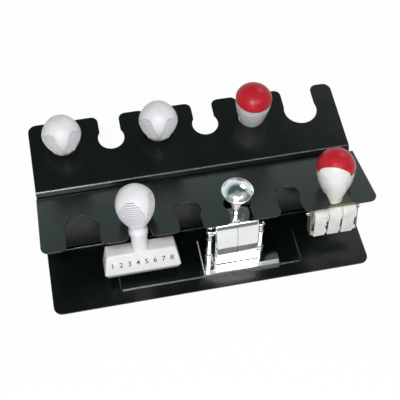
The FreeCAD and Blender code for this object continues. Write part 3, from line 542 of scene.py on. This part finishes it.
LOOKS = {
    "black_steel": surface("black_powder_coat", (0.0004, 0.002, 0.0018), 0.27,
                           grain=(1400, 0.02), cloud=(30, 0.12), gloss=0.66),
    "rivet_steel": surface("black_rivet", (0.006, 0.009, 0.0095), 0.3),
    "foot_rubber": surface("black_rubber", (0.02, 0.02, 0.02), 0.75, grain=(900, 0.08)),
    "grey_plastic": surface("satin_plastic", (0.72, 0.71, 0.73), 0.42,
                            grain=(2200, 0.012), subsurface=0.08),
    "white_plastic": surface("white_plastic", (0.71, 0.7, 0.69), 0.32,
                             grain=(2600, 0.008), subsurface=0.06),
    "red_plastic": surface("red_plastic", (0.45, 0.014, 0.026), 0.3,
                           grain=(1200, 0.006), gloss=0.2),
    "label": surface("label_film", (0.7, 0.69, 0.7), 0.45, grain=(1800, 0.01)),
    "cushion_foam": surface("grey_foam", (0.32, 0.32, 0.33), 0.9,
                            grain=(1100, 0.25), cloud=(300, 0.15)),
    "die_rubber": surface("moulded_rubber", (0.2, 0.19, 0.185), 0.7, grain=(700, 0.2)),
    "olive_metal": surface("olive_metal", (0.16, 0.165, 0.1), 0.38, metallic=0.3,
                           grain=(1200, 0.02), cloud=(60, 0.15)),
    "bright_steel": surface("bright_steel", (0.62, 0.62, 0.61), 0.22, metallic=1.0,
                            brushed=(1, 12, 12)),
    "band_rubber": surface("white_band", (0.7, 0.7, 0.68), 0.55,
                           grain=(1500, 0.05), cloud=(120, 0.08)),
    "chrome": surface("chrome", (0.82, 0.83, 0.84), 0.1, metallic=1.0,
                      grain=(400, 0.004), cloud=(60, 0.04)),
    "wheel_steel": surface("wheel_steel", (0.5, 0.5, 0.48), 0.28, metallic=1.0,
                           brushed=(1, 10, 10)),
    "comb": surface("ground_steel", (0.8, 0.8, 0.78), 0.4, metallic=0.35, grain=(900, 0.03)),
    # Painted shade: a darker grey for the grooves between the knob's ribs
    "groove_shade": surface("painted_groove_shade", (0.3, 0.3, 0.33), 0.5),
    "ink": surface("dark_print", (0.02, 0.022, 0.03), 0.5),
}


def dress_nodes():
    """Give every CAD node the look of its material slot."""
    for row in frame["record"]["subparts"]:
        solid = NODES[row["node"]]
        solid.data.materials.clear()
        solid.data.materials.append(LOOKS[row["material_slot"]])


def piece(name, shape, look, body, stands_for=(), place=None, sharp=35, edge=None):
    """A new object from points and faces in millimetres; it rides on a body and stands for nodes.

    Faces that meet at more than sharp degrees keep a sharp edge; edge is the width of a bevel.
    """
    points, faces = shape
    place = place or Matrix.Identity(4)
    mesh = bpy.data.meshes.new(name)
    mesh.from_pydata([place @ (Vector(point) * MM) for point in points], [], faces)
    work = bmesh.new()
    work.from_mesh(mesh)
    bmesh.ops.remove_doubles(work, verts=work.verts, dist=1e-7)
    bmesh.ops.recalc_face_normals(work, faces=work.faces)
    work.to_mesh(mesh)
    work.free()
    mesh.polygons.foreach_set("use_smooth", [True] * len(mesh.polygons))
    mesh.set_sharp_from_angle(angle=math.radians(sharp))
    made = bpy.data.objects.new(name, mesh)
    bpy.context.scene.collection.objects.link(made)
    mesh.materials.append(LOOKS[look])
    if edge:
        bevel = made.modifiers.new("edge", "BEVEL")
        bevel.width = edge * MM
        bevel.segments = 2
        bevel.limit_method = "ANGLE"
        bevel.angle_limit = math.radians(BEVEL_FROM)
        bevel.harden_normals = True
    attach(made, body)
    if stands_for:
        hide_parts(*stands_for)
    return made


def arc(centre, radius, start, end, steps):
    """Points round a centre from one angle to another, both in degrees and both kept."""
    angles = [math.radians(start + (end - start) * k / steps) for k in range(steps + 1)]
    return [(centre[0] + radius * math.cos(a), centre[1] + radius * math.sin(a)) for a in angles]


def along_row(index):
    """How far a keyhole's middle is from the row's middle; the wide one is number 0."""
    beyond_wide = WIDE_RADIUS - HOLE_RADIUS if index else 0
    return index * PITCH + WIDE_MARGIN - RACK_WIDTH / 2 + beyond_wide


def row_outline(width, length):
    """A shelf's flat blank: x along the row, y in from its free edge, with its keyholes."""
    half = width / 2
    points = [(-half, length)] + arc((-half + CORNER, CORNER), CORNER, 180, 270, CORNER_STEPS)
    for index in range(HOLE_COUNT):
        middle = along_row(index)
        radius, neck = (WIDE_RADIUS, WIDE_NECK) if index == 0 else (HOLE_RADIUS, HOLE_NECK)
        reach = neck / 2 + TAB_CORNER
        open_angle = math.degrees(math.acos(neck / 2 / radius))
        points += arc((middle - reach, TAB_CORNER), TAB_CORNER, 270, 360, CORNER_STEPS)
        points += arc((middle, HOLE_INSET), radius, 180 + open_angle, -open_angle, HOLE_STEPS)
        points += arc((middle + reach, TAB_CORNER), TAB_CORNER, 180, 270, CORNER_STEPS)
    points += arc((half - CORNER, CORNER), CORNER, 270, 360, CORNER_STEPS)
    points.append((half, length))
    return points


class BentPath:
    """A line of straight runs joined by round bends, read by the distance along it.

    A run is the distance at which it starts, its length, its first point, its direction there,
    and its curl: the angle that it turns by in a millimetre, which is 0 on a straight run.
    """

    def __init__(self, corners, radii):
        self.runs = []
        reach = 0.0
        start = corners[0]
        for corner, following, radius in zip(corners[1:-1], corners[2:], radii):
            into = (corner - start).normalized()
            out = (following - corner).normalized()
            turn = into.angle_signed(out)
            cut = radius * math.tan(abs(turn) / 2)
            straight = (corner - start).length - cut
            self.runs.append((reach, straight, start, into, 0.0))
            reach += straight
            bend = radius * abs(turn)
            self.runs.append((reach, bend, corner - into * cut, into, -turn / bend))
            reach += bend
            start = corner + out * cut
        last = corners[-1] - start
        self.runs.append((reach, last.length, start, last.normalized(), 0.0))
        self.length = reach + last.length

    def stations(self, steps):
        """Distances at which a sheet has to be cut to follow the bends."""
        found = []
        for reach, length, _, _, curl in self.runs:
            if curl:
                found += [reach + length * k / steps for k in range(steps + 1)]
        return found

    def at(self, distance):
        """The point at a distance, and the direction of the line there."""
        for reach, _, start, into, curl in reversed(self.runs):
            if distance >= reach - 1e-9:
                break
        gone = distance - reach
        if not curl:
            return start + into * gone, into
        sine, cosine = math.sin(curl * gone), math.cos(curl * gone)
        chord = Vector((into.x * sine - into.y * (1 - cosine),
                        into.y * sine + into.x * (1 - cosine)))
        into_now = Vector((into.x * cosine - into.y * sine, into.y * cosine + into.x * sine))
        return start + chord / curl, into_now


def bent_sheet(outline, path, side, shift):
    """A flat blank folded along a path; side says on which hand of the path the sheet lies."""
    flat = bmesh.new()
    flat.faces.new([flat.verts.new((x, y, 0)) for x, y in outline])
    for distance in path.stations(BEND_STEPS):
        everything = flat.verts[:] + flat.edges[:] + flat.faces[:]
        bmesh.ops.bisect_plane(flat, geom=everything, plane_co=(0, distance, 0),
                               plane_no=(0, 1, 0))
    flat.verts.index_update()
    outer, inner = [], []
    for vert in flat.verts:
        point, into = path.at(vert.co.y)
        across = Vector((-into.y, into.x)) * side * SHEET
        outer.append((shift + vert.co.x, *(FOOT + point)))
        inner.append((shift + vert.co.x, *(FOOT + point + across)))
    count = len(outer)
    faces = [[v.index for v in face.verts] for face in flat.faces]
    faces += [[v.index + count for v in reversed(face.verts)] for face in flat.faces]
    for rim in flat.edges:
        if len(rim.link_faces) == 1:
            a, b = rim.verts[0].index, rim.verts[1].index
            faces.append([a, b, b + count, a + count])
    flat.free()
    return outer + inner, faces


def shelves():
    """The rear sheet with the wall and its foot flange, and the front sheet with its flange."""
    wall_foot = Vector((0, 0))
    rear = BentPath([REAR_EDGE, TOP_BEND, wall_foot, Vector((FOOT_FLANGE, 0))], (REAR_BEND, FOLD))
    turned_round = [(-x, y) for x, y in row_outline(RACK_WIDTH, rear.length)]
    piece("rear_sheet", bent_sheet(turned_round, rear, 1, RACK_SHIFT), "black_steel", "rack",
          ["rear_shelf"], sharp=SHEET_SHARP, edge=SHEET_EDGE)
    front = BentPath([FRONT_EDGE, JOIN, FLANGE_END], (FRONT_BEND,))
    outline = row_outline(FRONT_WIDTH, front.length)
    piece("front_sheet", bent_sheet(outline, front, -1, 0.0), "black_steel", "rack",
          ["front_shelf"], sharp=SHEET_SHARP, edge=SHEET_EDGE)


def rounded_rectangle(half_x, half_y, radius, steps=5):
    """Points round a rectangle with round corners, anticlockwise."""
    radius = min(radius, half_x, half_y)
    points = []
    for k, (sx, sy) in enumerate(((1, 1), (-1, 1), (-1, -1), (1, -1))):
        centre = (sx * (half_x - radius), sy * (half_y - radius))
        points += arc(centre, radius, 90 * k, 90 * k + 90, steps)
    return points


def skin(rings, closed=True):
    """Points and faces of a skin over rings of as many points each, closed at both ends."""
    count = len(rings[0])
    points = [point for ring in rings for point in ring]
    faces = []
    for level in range(len(rings) - 1):
        for k in range(count):
            a, b = level * count + k, level * count + (k + 1) % count
            faces.append([a, b, b + count, a + count])
    if closed:
        last = (len(rings) - 1) * count
        faces.append(list(range(count))[::-1])
        faces.append([last + k for k in range(count)])
    return points, faces


def joined(shapes):
    """Several shapes as one."""
    points, faces = [], []
    for more_points, more_faces in shapes:
        faces += [[index + len(points) for index in face] for face in more_faces]
        points += more_points
    return points, faces


def loft(levels, middle=(0, 0)):
    """A skin over level round-cornered rectangles: height, half length, half depth, radius."""
    rings = []
    for height, half_x, half_y, radius in levels:
        ring = rounded_rectangle(half_x, half_y, radius)
        rings.append([(middle[0] + x, middle[1] + y, height) for x, y in ring])
    return skin(rings)


def eased(low, high, corner, edge, steps):
    """Levels of a block from its low to its high rectangle, with its ends rounded over."""
    (z0, x0, y0), (z1, x1, y1) = low, high
    lower, upper = [], []
    for part, (z, x, y), inward in ((lower, low, 1), (upper, high, -1)):
        for k in range(steps + 1):
            angle = math.pi / 2 * k / steps
            inset = edge * (1 - math.sin(angle))
            up = edge * (1 - math.cos(angle))
            share = up / (z1 - z0) * inward
            half_x = x - inset + (x1 - x0) * share
            half_y = y - inset + (y1 - y0) * share
            part.append((z + inward * up, half_x, half_y, max(corner - inset, SMALLEST_CORNER)))
    return lower + upper[::-1]


def base_plate():
    """The base plate with its pressed panel, from rings that step up to the panel."""
    middle_y = -BASE_FRONT + PANEL_FRONT + PANEL[1] / 2
    plate_y = (BASE_REAR - BASE_FRONT) / 2
    plate = rounded_rectangle(RACK_WIDTH / 2, (BASE_FRONT + BASE_REAR) / 2, CORNER)
    tops = [[(x, y + plate_y, 0.0) for x, y in plate]]
    for grow, rise in PANEL_EDGE:
        ring = rounded_rectangle(PANEL[0] / 2 + grow, PANEL[1] / 2 + grow, PANEL_CORNER + grow)
        tops.append([(x, y + middle_y, rise * PANEL_RISE) for x, y in ring])
    unders = [[(x, y, z - SHEET) for x, y, z in ring] for ring in tops]
    points, faces = skin(unders[::-1] + tops)
    plate_points = [(x + RACK_SHIFT, y + WALL_Y, z + BASE_TOP) for x, y, z in points]
    piece("base_sheet", (plate_points, faces), "black_steel", "rack", ["base_plate"],
          sharp=SHEET_SHARP, edge=SHEET_EDGE)


def foot_bead():
    """The round seam where the wall stands on the base plate."""
    rings = []
    for x in (-BEAD_HALF, BEAD_HALF):
        step = 360 / BEAD_POINTS
        middle = (WALL_Y - BEAD_SHIFT, BASE_TOP + BEAD_SHIFT)
        spots = arc(middle, BEAD_RADIUS, 0, 360 - step, BEAD_POINTS - 1)
        rings.append([(x + RACK_SHIFT, y, z) for y, z in spots])
    piece("wall_foot_seam", skin(rings), "black_steel", "rack", sharp=ROUND_SHARP)


def seat(row, index):
    """The frame of a stamp in a keyhole, counted from the left; Z is the stamp's own axis."""
    if row == "front":
        tilt, x = -FRONT_TILT, along_row(index)
        back = FRONT_EDGE + Vector((math.cos(FRONT_TILT), -math.sin(FRONT_TILT))) * HOLE_INSET
    else:
        tilt, x = REAR_TILT, RACK_SHIFT - along_row(HOLE_COUNT - 1 - index)
        back = REAR_EDGE - Vector((math.cos(REAR_TILT), math.sin(REAR_TILT))) * HOLE_INSET
    place = Vector((x, *(FOOT + back))) * MM
    return Matrix.Translation(place) @ Matrix.Rotation(tilt, 4, "X")


def seat_rise(rings):
    """How high the widest ring stands over the shelf when the lowest taper is in a keyhole."""
    (top, wide), (bottom, narrow) = rings[-2:]
    return top + (wide - HOLE_RADIUS + SEAT_GAP) * (bottom - top) / (wide - narrow)


def polar(radius, angle, height):
    """A point from its radius, its angle and its height."""
    return radius * math.cos(angle), radius * math.sin(angle), height


def lathe(rings, segments=72, shape=None):
    """A turned form, from its lowest ring up; shape changes a ring's radius at an angle."""
    rows = []
    for radius, height in rings:
        row = []
        for k in range(segments):
            angle = 2 * math.pi * k / segments
            row.append(polar(shape(radius, height, angle) if shape else radius, angle, height))
        rows.append(row)
    return skin(rows)


def smooth_step(value):
    """A soft step from 0 to 1 as the value goes from 0 to 1."""
    value = min(max(value, 0.0), 1.0)
    return value * value * (3 - 2 * value)


def knob_radius(drop):
    """The radius of a ball knob at a drop below its widest ring: a ball, then a swollen cone."""
    (shoulder_drop, shoulder), (waist_drop, waist), (neck_drop, neck) = KNOB_RINGS
    if drop <= shoulder_drop:
        return math.sqrt(max(BALL ** 2 - drop ** 2, 0.0))
    share = min((drop - shoulder_drop) / (neck_drop - shoulder_drop), 1.0)
    waist_share = (waist_drop - shoulder_drop) / (neck_drop - shoulder_drop)
    swell = waist - shoulder - (neck - shoulder) * waist_share
    bulge = 4 * share * (1 - share) * (1.0 + KNOB_LOW_SWELL * (0.5 - share))
    return shoulder + (neck - shoulder) * share + swell * bulge


def recess_spot(drop, angle, turn):
    """Where a point lies in its quarter of the knob: the share down, and degrees off the middle."""
    share = (drop + RECESS_TOP) / (RECESS_FOOT + RECESS_TOP)
    return share, (math.degrees(angle) - turn) % 90 - 45


def recess_half(share):
    """Half the width of a recess in degrees: it opens like an arch from its top."""
    arch = math.sin(math.pi / 2 * min(share / RECESS_ARCH, 1.0))
    return RECESS_HALF * arch ** RECESS_FULLNESS


def rib_wave(drop, aside):
    """The wave of the ribs, 1 on a rib and -1 in a groove."""
    return math.cos(2 * math.pi * (drop + RIB_LEAN * aside) / RIB_PITCH)


def in_shaded_groove(point, rise, turn):
    """Whether a point of the knob lies in a groove between the ribs, where shade is painted."""
    drop = rise - point.z / MM
    share, aside = recess_spot(drop, math.atan2(point.y, point.x), turn)
    if not GROOVE_SHADE_SPAN[0] < share < GROOVE_SHADE_SPAN[1]:
        return False
    return abs(aside) < recess_half(share) - GROOVE_SHADE_MARGIN and rib_wave(drop, aside) < GROOVE_SHADE_LEVEL


def recess(rise, turn):
    """Four leaf-shaped finger recesses with fine ribs; narrow ridges are left between them."""
    def shape(radius, height, angle):
        drop = rise - height
        share, aside = recess_spot(drop, angle, turn)
        if not 0 < share < 1:
            return radius
        half = recess_half(share)
        inward = math.cos(math.radians(aside)) - math.cos(math.radians(half))
        if inward <= 0:
            return radius
        foot = smooth_step((1 - share) / RECESS_FADE)
        depth = RECESS_CURVE * radius * inward
        inside = smooth_step((half - RIB_MARGIN - abs(aside)) / RIB_MARGIN)
        rib = RIB_DEPTH * (1 - rib_wave(drop, aside)) * inside
        return radius - (depth + rib) * foot
    return shape


def ribbed_ball(name, place, rise, turn):
    """The ball knob of a stamp; its faces between the ribs get a darker grey as painted shade."""
    low, high = rise - KNOB_RINGS[-1][0], rise + BALL
    rings = []
    for k in range(KNOB_LEVELS):
        share = (1 + math.cos(math.pi * k / (KNOB_LEVELS - 1))) / 2
        height = high - (high - low) * share
        rings.append((knob_radius(rise - height), height))
    shape = lathe(rings, KNOB_SEGMENTS, recess(rise, turn))
    ball = piece(name + "_ball", shape, "grey_plastic", name, [name + "_knob"], place,
                 sharp=ROUND_SHARP)
    # A darker grey paints shade into the grooves between the ribs.
    ball.data.materials.append(LOOKS["groove_shade"])
    back = place.inverted()
    for face in ball.data.polygons:
        if in_shaded_groove(back @ face.center, rise, turn):
            face.material_index = 1


def knob_stamp(name, place, length, turn):
    """A stamp with a ball knob, a collar and a block; turn is its recesses' angle in degrees."""
    rise = seat_rise(KNOB_RINGS)
    ribbed_ball(name, place, rise, turn)
    neck_drop, neck = KNOB_RINGS[-1]
    high, low = rise - COLLAR_DROP, rise - COLLAR_DROP - COLLAR_HEIGHT
    top = rise - neck_drop + COLLAR_OVERLAP
    collar = [(STEM_RADIUS, low)]
    collar += [(COLLAR_RADIUS + out, low + up) for out, up in COLLAR_LOW_EDGE]
    collar += [(COLLAR_RADIUS + out, high + up) for out, up in COLLAR_HIGH_EDGE]
    collar += [(neck + out, high + up) for out, up in COLLAR_TO_NECK]
    collar += [(neck, top), (0.0, top)]
    piece(name + "_collar", lathe(collar), "grey_plastic", name, place=place)
    text_block(name, place, rise - BLOCK_DROP, low, length)


def text_block(name, place, top, stem_top, length):
    """The block of a stamp with its stem and its label."""
    bottom = top - BLOCK_HEIGHT
    half = (length / 2, BLOCK_DEPTH / 2)
    upper = (half[0] - BLOCK_SLOPE, BLOCK_TOP_DEPTH / 2)
    body = eased((bottom, *half), (top, *upper), BLOCK_CORNER, BLOCK_EDGE, BLOCK_EDGE_STEPS)
    piece(name + "_body", loft(body), "white_plastic", name, [name + "_block"], place)
    stem = [(STEM_RADIUS + out, top + up) for out, up in STEM_FLARE]
    stem.append((STEM_RADIUS, stem_top + STEM_OVERLAP))
    piece(name + "_stem", lathe(stem), "white_plastic", name, place=place)
    lean = math.atan((BLOCK_DEPTH - BLOCK_TOP_DEPTH) / 2 / BLOCK_HEIGHT)
    corner = Matrix.Translation(Vector((0, -half[1], bottom)) * MM)
    front = corner @ Matrix.Rotation(math.pi / 2 - lean, 4, "X")
    numbers(name, place @ front, length - 2 * LABEL_MARGIN)


def numbers(name, front, length):
    """A label on a block's front with a row of plain numbers, spaced evenly over it."""
    middle = LABEL_RISE + LABEL_HEIGHT / 2
    half_x, half_y = length / 2, LABEL_HEIGHT / 2
    film = loft([
        (-LABEL_SINK, half_x, half_y, LABEL_CORNER),
        (LABEL_THICKNESS - LABEL_EDGE, half_x, half_y, LABEL_CORNER),
        (LABEL_THICKNESS - LABEL_SINK, half_x - LABEL_EDGE, half_y - LABEL_EDGE,
         LABEL_CORNER - LABEL_EDGE),
    ], (0, middle))
    piece(name + "_film", film, "label", name, [name + "_label"], front)
    count = max(round(length / DIGIT_SPACING), FEWEST_DIGITS)
    step = (length - 2 * DIGIT_MARGIN) / (count - 1)
    for k in range(count):
        spot = Vector((DIGIT_MARGIN - half_x + step * k, middle, LABEL_THICKNESS)) * MM
        piece("%s_number_%d" % (name, k + 1), digit(k + 1), "ink", name,
              place=front @ Matrix.Translation(spot))


def digit(number):
    """The number's last digit in relief, centred on its own place."""
    curve = bpy.data.curves.new("lettering", "FONT")
    curve.body = str(number % 10)
    curve.align_x = "CENTER"
    curve.align_y = "CENTER"
    curve.size = DIGIT_HEIGHT * FONT_SCALE
    curve.extrude = DIGIT_DEPTH / 2
    curve.offset = DIGIT_WEIGHT
    curve.resolution_u = 3
    carrier = bpy.data.objects.new("lettering", curve)
    mesh = bpy.data.meshes.new_from_object(carrier)
    lift = Vector((0, 0, DIGIT_DEPTH / 2 - DIGIT_SINK))
    points = [tuple(v.co + lift) for v in mesh.vertices]
    faces = [list(p.vertices) for p in mesh.polygons]
    bpy.data.objects.remove(carrier)
    bpy.data.curves.remove(curve)
    bpy.data.meshes.remove(mesh)
    return points, faces


def dome_radius(rim, height):
    """The radius of the ball that a dome is cut from, by the dome's rim and height."""
    return (rim ** 2 + height ** 2) / (2 * height)


def grip_outline(rings, dome):
    """A function for the radius of a grip and its dome at a height over its widest ring."""
    widest = rings[0][1]
    ball = dome_radius(widest - RIM_INSET, dome)

    def plain(over):
        if over >= RIM_RISE:
            up = over - RIM_RISE - dome + ball
            return math.sqrt(max(ball ** 2 - up ** 2, 0.0))
        if over >= 0:
            return widest - RIM_INSET * (over / RIM_RISE) ** 2
        for (top, wide), (bottom, narrow) in zip(rings, rings[1:]):
            if -over <= bottom:
                return wide + (narrow - wide) * (-over - top) / (bottom - top)
        return rings[-1][1]

    def softened(over):
        if over > dome - GRIP_EASE:
            return plain(over)
        samples = [plain(over + GRIP_EASE * k / 2) for k in (-2, -1, 0, 1, 2)]
        return sum(samples) / len(samples)
    return softened


def domed_cap(outline, border, rise, top):
    """A thin cap over a grip; border gives the height of its lower edge at an angle."""
    outer, inner = [], []
    for k in range(CAP_LEVELS):
        share = math.sin(math.pi / 2 * k / CAP_LEVELS)
        lip = CAP_LIP * (1 - smooth_step(k / 2))
        ring, lining = [], []
        for j in range(CAP_SEGMENTS):
            angle = 2 * math.pi * j / CAP_SEGMENTS
            low = border(angle)
            over = low + (top - low) * share
            radius = outline(over)
            ring.append(polar(radius - lip, angle, rise + over))
            lining.append(polar(max(radius - CAP_WALL, 0.0), angle, rise + over))
        outer.append(ring)
        inner.append(lining)
    outer.append([(0.0, 0.0, rise + top)] * CAP_SEGMENTS)
    inner.append([(0.0, 0.0, rise + top - CAP_CROWN)] * CAP_SEGMENTS)
    return skin(inner[::-1] + outer, closed=False)


def capped_grip(name, place, rings, dome, border):
    """A turned grip with a domed cap laid over it; returns the height of the grip's foot."""
    rise = seat_rise(rings)
    tail = rings[-1][0]
    top = RIM_RISE + dome
    outline = grip_outline(rings, dome)
    grip = []
    for k in range(GRIP_LEVELS + 1):
        over = -tail + (tail + top - GRIP_TOP_GAP) * k / GRIP_LEVELS
        under_cap = CAP_GAP * smooth_step((over + CAP_GAP_DEPTH) / CAP_GAP_EASE)
        grip.append((outline(over) - under_cap, rise + over))
    grip[0] = (grip[1][0] - GRIP_FOOT_EDGE, grip[0][1])
    piece(name + "_body_grip", lathe(grip, GRIP_SEGMENTS), "white_plastic", name,
          [name + "_grip"], place, sharp=ROUND_SHARP)
    cap = domed_cap(outline, border, rise, top)
    piece(name + "_lid", cap, "red_plastic", name, [name + "_cap"], place, sharp=ROUND_SHARP)
    return rise - tail


def red_stamp(name, place):
    """The stamp with a low red cap that ends level, and a block of its own."""
    tail = capped_grip(name, place, RED_RINGS, RED_DOME, lambda angle: RED_BORDER)
    text_block(name, place, tail - RED_BLOCK_GAP, tail, REAR_BLOCK)


def lobed(angle):
    """The date stamp's cap has a round arch in front and behind, and hangs lower between them."""
    front = abs((angle + math.pi + ARCH_TURN) % math.pi - math.pi / 2)
    return ARCH_FOOT + ARCH_RISE * math.sqrt(max(1 - (front / ARCH_HALF) ** 2, 0.0))


def band_run(distance):
    """A point on a printing band's front and its outward direction, from over the axle down."""
    quarter = BAND_OUT * math.pi / 2
    if distance < quarter:
        angle = math.pi / 2 + distance / BAND_OUT
        out = Vector((math.cos(angle), math.sin(angle)))
        return Vector((0, AXLE_Z)) + out * BAND_OUT, out
    top, low = Vector((-BAND_OUT, AXLE_Z)), Vector((-SHOE_OUT, SHOE_TOP))
    along = (low - top).normalized()
    return top + along * (distance - quarter), Vector((along.y, -along.x))


def blocklet(x, distance, width):
    """A small raised block on a printing band."""
    points = []
    for lift, inset in ((-RELIEF_SINK, 0.0), (RELIEF_RISE, RELIEF_TAPER)):
        for sx, sd in ((-1, -1), (1, -1), (1, 1), (-1, 1)):
            at, out = band_run(distance + sd * (RELIEF_HEIGHT / 2 - inset))
            points.append((x + sx * (width / 2 - inset), *(at + out * lift)))
    faces = [[0, 3, 2, 1], [4, 5, 6, 7]]
    faces += [[k, (k + 1) % 4, (k + 1) % 4 + 4, k + 4] for k in range(4)]
    return points, faces


def band_relief():
    """Rows of blocks on the bands: one in a row on the first band, two to four on the others."""
    blocks = []
    rows = math.ceil((RELIEF_END - RELIEF_START) / RELIEF_PITCH)
    for column in range(COLUMN_COUNT):
        middle = (column - 1) * COLUMN_PITCH + COLUMN_SHIFT
        for row in range(rows):
            count = 2 + (row + column) % 3 if column else 1
            share = RELIEF_WIDTH / count
            width = (share - RELIEF_GAP) * RELIEF_SHARES[row % len(RELIEF_SHARES)]
            for k in range(count):
                x = middle + (k - (count - 1) / 2) * share
                blocks.append(blocklet(x, RELIEF_START + row * RELIEF_PITCH, width))
    return joined(blocks)


def date_stamp(name, place):
    """The date stamp's grip and cap, the ring at the grip's foot, and the relief on its bands."""
    tail = capped_grip(name, place, DATE_RINGS, DATE_DOME, lobed)
    foot = [(radius, tail + up) for radius, up in DATE_FOOT]
    piece(name + "_foot_ring", lathe(foot), "white_plastic", name, place=place)
    piece(name + "_relief", band_relief(), "band_rubber", name, place=place)


def casing_front(z):
    """How far the casing's front is from its axis: upright, leaning, then a round brow."""
    if z < SKIRT_TOP:
        return SKIRT_OUT
    if z < LEAN_START:
        return FRONT_OUT
    if z < BROW_START:
        return FRONT_OUT - (z - LEAN_START) * LEAN
    over = z - BROW_START
    round_share = over / (CASING_TOP - BROW_START)
    fall = BROW_ROUND * (1 - math.sqrt(max(1 - round_share ** 4, 0.0)))
    return BROW_OUT - over * BROW_LEAN - fall


def casing_rear(z):
    """How far the casing's back is from its axis: upright, then round at the top."""
    over = z - (CASING_TOP - BACK_ROUND)
    if over < 0:
        return BACK_OUT
    return BACK_OUT - BACK_ROUND * (1 - math.sqrt(max(1 - (over / BACK_ROUND) ** 2, 0.0)))


def casing_skin(wall, corner):
    """The rings of the casing's outer skin, or of its lining at the depth of the wall."""
    brow = CASING_TOP - BROW_START
    heights = list(CASING_LEVELS)
    for k in range(BROW_STEPS + 1):
        heights.append(BROW_START + brow * math.sin(math.pi / 2 * k / BROW_STEPS))
    rings = []
    for z in heights:
        front, rear = casing_front(z) - wall, casing_rear(z) - wall
        middle, half = (rear - front) / 2, (rear + front) / 2
        level = z - wall * (z - CASING_LOW) / (CASING_TOP - CASING_LOW)
        outline = rounded_rectangle(CASING_HALF - wall, half, corner)
        rings.append([(x, middle + y, level) for x, y in outline])
    return rings


def casing():
    """The casing as a hood that is open below."""
    lining = casing_skin(CASING_WALL, CASING_INNER_CORNER)
    return skin(lining[::-1] + casing_skin(0.0, CASING_CORNER))


def seam():
    """A fine upright line down the middle of the casing's front."""
    low, high = SEAM_ENDS
    rings = []
    for k in range(SEAM_LEVELS):
        z = low + (high - low) * k / (SEAM_LEVELS - 1)
        front, back = -casing_front(z) - SEAM_OUT, -casing_front(z) + SEAM_DEPTH
        rings.append([(-SEAM_HALF, front, z), (SEAM_HALF, front, z),
                      (SEAM_HALF, back, z), (-SEAM_HALF, back, z)])
    return skin(rings)


def spring_coil(place):
    """The return spring."""
    rings = []
    steps = COIL_TURNS * COIL_STEPS
    round_wire = [2 * math.pi * j / WIRE_POINTS for j in range(WIRE_POINTS)]
    for k in range(steps + 1):
        turn = 2 * math.pi * COIL_TURNS * k / steps
        height = COIL_LOW + (COIL_HIGH - COIL_LOW) * k / steps
        rings.append([polar(COIL_RADIUS + WIRE * math.cos(a), turn, height + WIRE * math.sin(a))
                      for a in round_wire])
    coil = piece("spring_coil", skin(rings), "bright_steel", "machine", ["return_spring"], place,
                 sharp=ROUND_SHARP)
    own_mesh(coil)


def machine_sides(place):
    """A turned rod on each side of the casing, and the ear that holds it."""
    low, high = EAR_HEIGHTS
    for side, sign in (("left", -1), ("right", 1)):
        beside = Matrix.Translation(Vector((sign * ROD_PLACE[0], ROD_PLACE[1], 0)) * MM)
        stands_for = ["machine_columns"] if side == "left" else ()
        piece("machine_rod_" + side, lathe(ROD_PROFILE, ROD_SEGMENTS), "chrome", "machine",
              stands_for, place @ beside)
        levels = eased((low, *EAR_SIZE), (high, *EAR_SIZE), EAR_CORNER, EAR_EDGE, EAR_EDGE_STEPS)
        ear = loft(levels, (sign * EAR_OUT, ROD_PLACE[1]))
        piece("machine_ear_" + side, ear, "chrome", "machine", place=place)


def machine_plunger(place):
    """The plunger's shank, and its knob with a domed top."""
    low = FLANGE_TOP + STROKE + SEAT_GAP
    shank = [(radius, low + up) for radius, up in SHANK_PROFILE]
    piece("machine_shank", lathe(shank), "comb", "plunger", place=place)
    knob = [(radius, low + up) for radius, up in KNOB_PROFILE]
    ball = dome_radius(KNOB_DOME_RADIUS, KNOB_DOME)
    dome_top = low + KNOB_DOME_LOW + KNOB_DOME
    for k in range(KNOB_DOME_FIRST, KNOB_DOME_STEPS + 1):
        angle = math.asin(KNOB_DOME_RADIUS / ball) * (1 - k / KNOB_DOME_STEPS)
        knob.append((ball * math.sin(angle), dome_top - ball * (1 - math.cos(angle))))
    piece("machine_knob_turned", lathe(knob, MACHINE_KNOB_SEGMENTS), "chrome", "plunger",
          ["machine_knob"], place, sharp=MACHINE_KNOB_SHARP)


def bar(half_x, half_y, top, middle):
    """A fine bar on the machine's foot, a little slimmer at its top."""
    upper = (top, half_x - COMB_TAPER, half_y - COMB_TAPER, COMB_CORNER)
    return loft([(COMB_LOW, half_x, half_y, COMB_CORNER), upper], middle)


def machine_comb(place):
    """Teeth along the front of the machine's foot, a bar behind them and one at its left side."""
    x, y = TOOTH_START
    bars = [bar(*FRONT_BAR), bar(*LEFT_BAR)]
    bars += [bar(*TOOTH, (x + TOOTH_PITCH * k, y)) for k in range(TOOTH_COUNT)]
    piece("machine_comb", joined(bars), "comb", "machine", place=place)


def numbering_machine():
    """The machine that stands on the panel, a little to the left of its keyhole."""
    spot = Vector((along_row(MACHINE_HOLE) + MACHINE_OFFSET,
                   WALL_Y - BASE_FRONT + MACHINE_SETBACK, BASE_TOP + PANEL_RISE))
    place = Matrix.Translation(spot * MM)
    piece("machine_hood", casing(), "chrome", "machine", ["machine_casing"], place,
          sharp=HOOD_SHARP)
    spring_coil(place)
    piece("machine_seam", seam(), "ink", "machine", place=place)
    machine_sides(place)
    piece("machine_flange", lathe(FLANGE_PROFILE), "chrome", "machine", ["machine_collar"], place)
    machine_plunger(place)
    machine_comb(place)


camera()
studio()
dress_nodes()
shelves()
base_plate()
knob_stamp("front_stamp", seat("front", 1), FRONT_BLOCK, turn=25)
knob_stamp("rear_left_stamp", seat("rear", 0), REAR_BLOCK, turn=1)
knob_stamp("rear_middle_stamp", seat("rear", 2), REAR_BLOCK, turn=-8)
red_stamp("red_stamp", seat("rear", 4))
date_stamp("date_stamp", seat("front", 5))
foot_bead()
numbering_machine()
